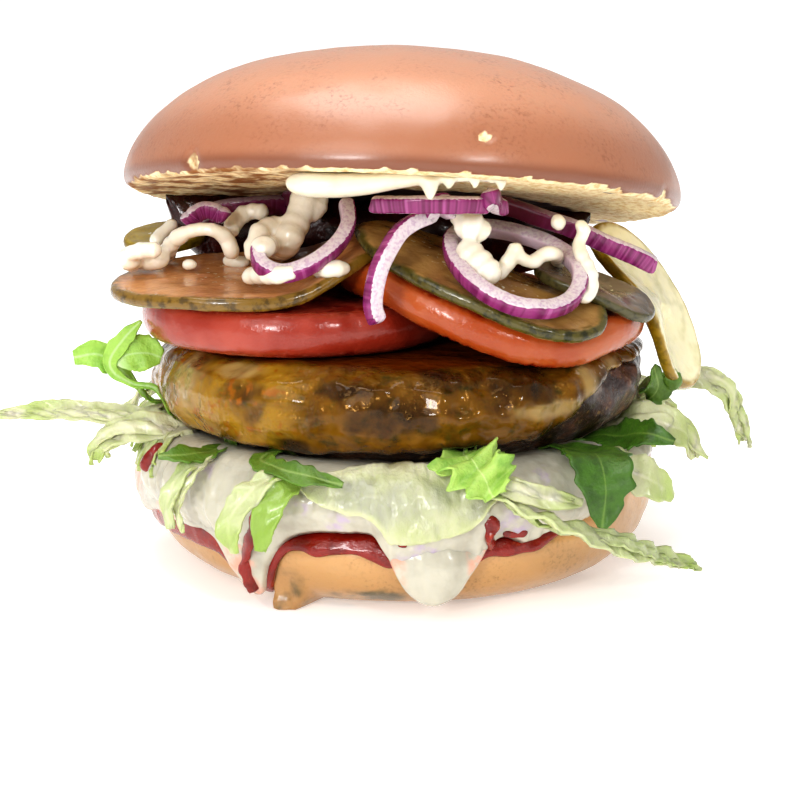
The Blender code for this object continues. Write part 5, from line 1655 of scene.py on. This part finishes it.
# Name, material, path, widths along the leaf, face direction, wave, curl and lobes
LEAVES = [
    ("rocket_leaf_left", rocket_light, [(-34, -13, 0), (-41, -14.5, 28.0), (-46, -15.5, 31.2),
                                        (-50, -16.5, 37.4), (-54.5, -17.5, 38.6), (-58.3, -18, 41.2),
                                        (-58.8, -18.4, 44.2), (-55.8, -18.8, 48.4), (-52.4, -19, 52.0)],
     [(0, 1.4), (0.6, 1.3), (0.7, 2.4), (0.82, 3.8), (0.92, 3.0), (1, 0.5)], (-0.2, -1, 0.3), 0.2, 0.1, 0.0),
    ("rocket_leaf_outer", rocket_light, [(-33, -4, 0), (-43, -4, 27.6), (-51.5, -3.5, 31.2), (-56, -10, 38.0),
                                         (-58.5, -15.5, 42.6), (-62, -16.5, 44.6), (-66.5, -17, 44.0)],
     [(0, 1.2), (0.6, 1.3), (0.74, 3.4), (0.85, 5.4), (0.94, 5.0), (1, 2.8)], (0, -1, 0.3), 0.3, 0.1, 0.0),
    ("rocket_leaf_low", rocket, [(-29, -24, 0), (-34, -31, 29.4), (-38, -38, 29.6), (-43, -43, 30.4),
                                 (-47, -44, 30.4)],
     [(0, 2.5), (0.4, 4), (0.75, 5.5), (1, 1.0)], (-0.6, -1, 0.8), 0.4, 0.1, 0.1),
    ("rocket_leaf_front", rocket, [(-19, -31, 0), (-23, -38.5, 30.2), (-27, -47, 30.6), (-22, -55, 30.6),
                                   (-11, -59.5, 29.0)],
     [(0, 2.0), (0.3, 2.6), (0.55, 5.2), (0.7, 4.2), (0.85, 4.8), (1, 0.8)], (-0.2, -0.7, 1), 0.4, 0.1, 0.15),
    ("rocket_leaf_dark", rocket_dark, [(25, -27, 0), (29.5, -35, 30.2), (34, -43, 31.2), (37, -53, 32.5),
                                       (38, -58, 28.0), (37.5, -59, 20.5)],
     [(0, 2.5), (0.35, 5), (0.6, 12), (0.8, 12), (1, 1.5)], (0.3, -1, 0.4), 0.4, 0.12, 0.1),
    ("rocket_leaf_right", rocket_dark, [(30, -20, 0), (38, -27, 30.0), (43, -32, 31.4), (48, -38, 33.4),
                                        (53, -39, 32.0)],
     [(0, 2.5), (0.4, 6), (0.7, 8), (1, 1.5)], (0.4, -1, 0.6), 0.4, 0.1, 0.15),
    ("rocket_leaf_back", rocket, [(46.3, -4, 29.0), (50.2, -6, 31.6), (52.8, -9, 36), (51.5, -12, 41)],
     [(0, 2.5), (0.4, 5), (0.7, 9), (1, 1.5)], (0.3, -1, 0.3), 0.4, 0.1, 0.2),
    ("frilly_leaf", frilly, [(10, -34, 0), (11.5, -43, 30.4), (12, -50, 31.6), (14, -57.5, 32.0),
                             (17, -61, 27.0)],
     [(0, 3), (0.4, 8), (0.6, 14), (0.8, 13), (1, 5)], (0.1, -1, 0.6), 0.9, 0.12, 0.25),
]
# A second lobe of the left leaf: its path and its widths
SIDE_LOBE = [(-58.4, -18.2, 43.6), (-55.0, -18.5, 45.0), (-51.6, -18.2, 45.2), (-48.6, -17.6, 44.2)]
LOBE_WIDTHS = [(0, 2.0), (0.3, 6.4), (0.7, 7.2), (1, 3.0)]


def patty_under(radius, angle):
    """Height of the patty's underside."""
    height = between([(r, z) for s, r, z in PATTY_SHAPE[:7]], radius)
    return height + slope_at(polar(radius, angle, 0).y)


def tuck(points):
    """Put the first point of a leaf into the gap under the patty, unless its height is given."""
    x, y, z = points[0]
    if z > 0:
        return points
    angle = math.degrees(math.atan2(x, -y))
    return [(x, y, patty_under(math.hypot(x, y), angle) - STALK_DROP)] + list(points[1:])


stack = tree_of("heel", "mayo_spread", "patty", "cheese", "tomato_left", "tomato_right", "pickle_left",
                "pickle_right")
for index, (label, cover, points, widths, hint, wave, curl, lobes) in enumerate(LEAVES):
    frilled = label == "frilly_leaf"
    mesh = sheet_mesh(tuck(points), widths, hint, 0.4, wave * (1.6 if frilled else 0.8), curl, stack, lobes,
                      seed=0.37 * index, count=90, across=16, wave_length=5.0 if frilled else 9.0,
                      jag=0.6 if frilled else 0.3)
    if label == "rocket_leaf_left":
        lobe = sheet_mesh(SIDE_LOBE, LOBE_WIDTHS, (0, -1, 0.2), 0.4, 0.3, 0.1, [], count=24, flat_start=False)
        mesh = joined(label, [mesh, lobe])
    dress(place(label + "_blade", mesh), cover, "green_leaf", label)

# %% [markdown]
# ## Sauce over the front of the salad
# In front the white sauce doesn't stop at the bun: it has run out over the lettuce bed as a
# thick curtain that joins the sauce below. It is lofted round the front as a row of cross
# sections, and slow runs are raised on it by noise that is stretched downwards. A faint lilac
# grey marks a few places where the curtain is thin; it is painted shade.

# %% Sauce over the front of the salad
CURTAIN_LEFT = -66.0
CURTAIN_RIGHT = 54.0
CURTAIN_TOP = 29.6
CURTAIN_DEPTH = 1.8
# Share of the way down, radius, and share of the height that is left
CURTAIN_SHAPE = [(0.0, 39.0, 0.9), (0.2, 48.6, 1.03), (0.4, 54.3, 0.88), (0.6, 57.4, 0.64), (0.8, 58.0, 0.34),
                 (1.0, 55.6, 0.0)]
# Direction, share of the way down, half width and half height of the thin places with painted lilac shade
VEILS = [(-46, 0.45, 5, 0.2), (-21, 0.75, 4, 0.2), (-11, 0.9, 5, 0.12), (5, 0.95, 6, 0.12),
         (22, 0.85, 5, 0.15), (30, 0.45, 5, 0.12)]


def curtain_end(angle):
    """Height at which the curtain joins the sauce below."""
    return max(12.6, soft(MAYO_HEM, angle) + 1.4)


def curtain_point(angle, share, out=0.0):
    """Point of the curtain's outer face, with some more distance outwards."""
    radius = soft([(a, r) for a, r, z in CURTAIN_SHAPE], share)
    left = soft([(a, z) for a, r, z in CURTAIN_SHAPE], share)
    height = curtain_end(angle) + left * (CURTAIN_TOP - curtain_end(angle))
    lump = 1.1 * rough(angle / 11, height / 10, 2.0, 1.0) + 0.5 * rough(angle / 4, height / 7, 7.0, 1.0)
    lump += 0.45 * rough(angle / 1.8, height / 9, 4.0, 1.0) + 0.3 * rough(angle / 1.3, height / 1.6, 9.0, 1.0)
    return polar(radius + lump * ease(0.1, 0.4, share) + out, angle, height + 0.5 * out)


def make_curtain():
    """Curtain of white sauce between the patty and the sauce on the bun."""
    rows = steps(40)
    stations = steps(260)
    places = [(i / rows, 0.0) for i in range(rows + 1)] + [(i / 10, 0.4) for i in reversed(range(11))]

    def spot(station, low):
        share, behind = low
        angle = CURTAIN_LEFT + (CURTAIN_RIGHT - CURTAIN_LEFT) * station / stations
        edge = min(angle - CURTAIN_LEFT, CURTAIN_RIGHT - angle) + 2.5 * rough(angle, 3.0, 0.0, 2.0)
        thick = 0.0 if behind else CURTAIN_DEPTH * quarter(min(1.0, max(0.02, edge / 4.0)))
        point = curtain_point(angle, share, thick - CURTAIN_DEPTH - behind)
        return point, 0.0 if behind else place_at(VEILS, share, angle, 3, 6 / rows)

    mesh = woven("sauce_curtain", range(stations + 1), places, spot, ("veil",))
    return tree_in(dress(place("sauce_curtain", mesh), low_mayo, "mayo").data)


curtain = make_curtain()

# %% [markdown]
# ## Shredded lettuce
# The salad is many pale shreds over a flat bed. Every shred that the solid model shows as a
# strip becomes a few real ones, two to seven millimetres wide. Smaller ones are strewn along
# the sides and the back with a fixed seed, so that each run gives the same salad. In front
# the shreds lie on the sauce, and one wide piece is draped over it.

# %% Shredded lettuce
SALAD_SEED = 11
STREWN = 52
# The large shreds: points, width, face direction, wave, number of companions and greenness
SHREDS = [
    ([(-35, -11, 24.6), (-48.5, -11, 29.6), (-61, -2, 28.6), (-73, 2, 28.6), (-87, 5, 26.6)],
     4.5, (0, -1, 0.3), 0.5, 2, 0.1),
    ([(-34, -24, 24.4), (-44.5, -23, 30.2), (-54, -22, 30.6), (-61, -20, 27.0), (-62, -19, 23.0)],
     6.0, (-0.6, -1, 0.4), 0.5, 2, 0.0),
    ([(-37, -39, 29.0), (-42, -44, 27.6), (-45.0, -47.0, 22.4), (-44.5, -47.6, 17.0)],
     3.6, (-0.6, -1, 0.3), 0.4, 1, 0.35),
    ([(-21, -49, 30.2), (-25, -55, 29.0), (-30.0, -58.0, 25.4), (-32.5, -59.0, 20.5), (-31.5, -59, 15.6)],
     5.5, (-0.4, -1, 0.5), 0.4, 0, 0.3),
    ([(-19, -50, 29.6), (-22.5, -57.0, 27.4), (-25.5, -60.0, 22.6), (-26.5, -60.4, 16.4)],
     5.6, (-0.2, -1, 0.4), 0.4, 0, 0.85),
    ([(12, -50, 30.0), (20, -57.6, 28.0), (28, -57.0, 25.6), (34, -55, 24.2)],
     4.6, (0.2, -1, 0.5), 0.3, 1, 0.1),
    ([(14, -53, 29.2), (20, -59.4, 25.6), (30, -59.2, 21.0), (41, -52.6, 15.4), (52, -39.6, 8.8),
      (58.5, -32.5, 5.2)],
     5.0, (0.3, -0.8, 0.6), 0.6, 1, 0.3),
    ([(30, -32, 24.6), (39, -38, 27.8), (47.5, -42, 25.4), (53, -38, 21.0)],
     8.0, (0.7, -1, 0.4), 0.5, 1, 0.0),
    ([(36, -14, 24.8), (47.5, -16, 30.6), (57, -17, 28.6), (60, -16, 23.0)],
     8.0, (0.8, -0.7, 0.3), 0.5, 2, 0.1),
    ([(34, 6, 24.6), (49.5, 6, 30.8), (60, 6, 34.6), (68, 8, 32.6), (73, 12, 24.0), (74, 16, 18.0)],
     5.0, (0.3, -1, 0.3), 0.5, 2, 0.25),
    ([(34, 18, 24.2), (43.5, 22.5, 30.4), (54, 28, 29.0), (61, 30, 22.0)],
     7.0, (1, 0.3, 0.3), 0.4, 2, 0.0),
    ([(10, 34, 22.9), (12, 42.5, 26.4), (13, 48, 29.8), (16, 58, 28.6), (18, 62, 22.0)],
     9.0, (0.2, 1, 0.3), 0.5, 2, 0.0),
    ([(-15, 32, 22.9), (-18, 39.5, 26.4), (-21, 45.5, 30.0), (-27, 55, 28.4), (-32, 60, 22.6)],
     8.0, (-0.3, 1, 0.3), 0.5, 2, 0.2),
    ([(-34, 16, 24.2), (-45, 20, 30.4), (-56, 24, 29.0), (-60, 26, 23.0)],
     7.0, (-1, 0.3, 0.3), 0.4, 2, 0.0),
]
# The wide piece: direction, and shares of the way down the curtain at which it starts and ends
DRAPED_TOP = [(-20, 0.42), (-15, 0.34), (-8, 0.24), (0, 0.2), (8, 0.26), (14, 0.34), (20, 0.44)]
DRAPED_END = [(-20, 0.5), (-17, 0.66), (-12, 0.78), (-4, 0.85), (5, 0.84), (12, 0.78), (16, 0.66), (20, 0.54)]


def shred_widths(wide):
    """Width along a shred: narrow where it is tucked in and at its tip."""
    return [(0, 0.6 * wide), (0.4, wide), (0.8, wide * 0.9), (1, wide * 0.3)]


def core_mesh():
    """Flat bed of lettuce between the white sauce and the patty."""
    rows = [(share, None) for share in (0.01, 0.4, 0.7, 0.9, 1.0)]
    rows += [(1.02, 2.6), (0.98, 1.2), (0.8, 1.0), (0.4, 1.0), (0.01, 1.0)]

    def spot(row, angle):
        share, drop = row
        reach = 38.5 + 2.0 * (1.0 - ease(45, 75, abs(angle)))
        if drop is None:
            return heel_offset(share * reach / 48.0, angle, 3.6), 0.0, 0.3, 0.1
        radius = share * (reach + 0.8 * rough(angle / 4, share, 0.0, 1.0))
        return polar(radius, angle, patty_under(radius, angle) - drop), 0.0, 0.3, 0.1

    return woven("bed", rows, directions(steps(160)), spot, ("rib", "along", "green"))


def draped_mesh():
    """Wide see-through piece of lettuce lying on the curtain of sauce."""
    rows = steps(36)
    columns = steps(70)
    top = []
    marks = {"rib": [], "along": [0.4] * rows * columns, "green": [0.1] * rows * columns, "wet": []}
    for k in range(rows):
        down = k / (rows - 1)
        for i in range(columns):
            angle = -20.0 + 40.0 * i / (columns - 1)
            start = soft(DRAPED_TOP, angle) + 0.03 * rough(angle, 0.0, 1.0, 1.4)
            end = soft(DRAPED_END, angle) + 0.02 * rough(angle, 5.0, 1.0, 1.8)
            share = start + (end - start) * down
            ripple = 0.7 * rough(angle / 4.5, 5 * share, 3.0, 1.0)
            ripple += 0.45 * rough(angle / 1.6, 6 * share, 6.0, 1.0)
            frill = 0.9 * ease(0.25, 0.0, down) * abs(rough(angle / 1.3, 1.0, 2.0, 1.0))
            top.append((curtain_point(angle, share, 1.0 + ripple + frill), polar(1.0, angle, 0.3)))
            marks["rib"].append(0.8 * ease(0.3, 0.05, down) + 0.5 * ease(0.92, 1.0, down))
            marks["wet"].append(ease(0.15, 0.45, down) * ease(1.0, 0.8, down))
    return thicken(top, rows, columns, 0.6, marks)


def strewn_shred(dice, around):
    """Small shred over the rim, at the sides or at the back."""
    angle = dice.uniform(58, 292)
    twist = dice.uniform(-14, 14)
    fall = dice.uniform(1.0, 9.0)
    wide = dice.uniform(1.4, 3.6)
    rise = 27.6 + 2.0 * ease(30, 70, abs((angle + 180) % 360 - 180))
    points = [polar(38, angle, patty_under(38, angle) - 1.6), polar(46, angle + 0.3 * twist, rise),
              polar(52 + dice.uniform(0, 2), angle + 0.7 * twist, rise - 0.4),
              polar(55 + dice.uniform(0, 3), angle + twist, rise - 1.0 - fall)]
    hint = polar(1.0, angle + dice.uniform(-40, 40), dice.uniform(0.2, 0.9))
    return sheet_mesh(points, shred_widths(wide), hint, 0.45, 0.35, dice.uniform(-0.2, 0.3), around,
                      seed=dice.random(), count=22, across=4, wave_length=dice.uniform(4, 8),
                      green=dice.uniform(0, 0.4))


def strewn_path(dice, points):
    """Path beside a given one, from the same start."""
    drift = [Vector((dice.uniform(-2.5, 2.5), dice.uniform(-1.0, 1.0), dice.uniform(-1.2, 0.8)))
             for _ in points]
    return [Vector(p) + (move if k else Vector()) for k, (p, move) in enumerate(zip(points, drift))]


def make_salad():
    """All shreds and their bed as one piece."""
    dice = random.Random(SALAD_SEED)
    around = tree_of("heel", "mayo_spread", "patty", "cheese") + [curtain]
    bodies = [core_mesh(), draped_mesh()]
    for number, (points, wide, hint, wave, companions, green) in enumerate(SHREDS):
        bodies.append(sheet_mesh(points, shred_widths(wide), hint, 0.6, wave * 1.2, 0.12, around, lobes=0.1,
                                 seed=0.61 * number, count=48, across=12, wave_length=7.0, green=green,
                                 flat_start=green < 0.8))
        for _ in range(companions):
            moved = strewn_path(dice, points)
            bodies.append(sheet_mesh(moved, shred_widths(wide * dice.uniform(0.3, 0.5)), hint, 0.5, wave,
                                     dice.uniform(-0.2, 0.3), around, seed=dice.random(), count=40, across=6,
                                     wave_length=dice.uniform(4, 8), green=green * dice.uniform(0.5, 1.5)))
    for _ in range(STREWN):
        bodies.append(strewn_shred(dice, around))
    whole = place("lettuce_shreds", joined("lettuce_shreds", bodies))
    return dress(whole, iceberg, "pale_lettuce", "salad_bed")


make_salad()
make_drizzle("red_streaks", RED_STREAKS, tree_of("heel") + low_sauce + [curtain], ketchup, "ketchup",
             flat=2.1, lift=(0, 0.3, 0))
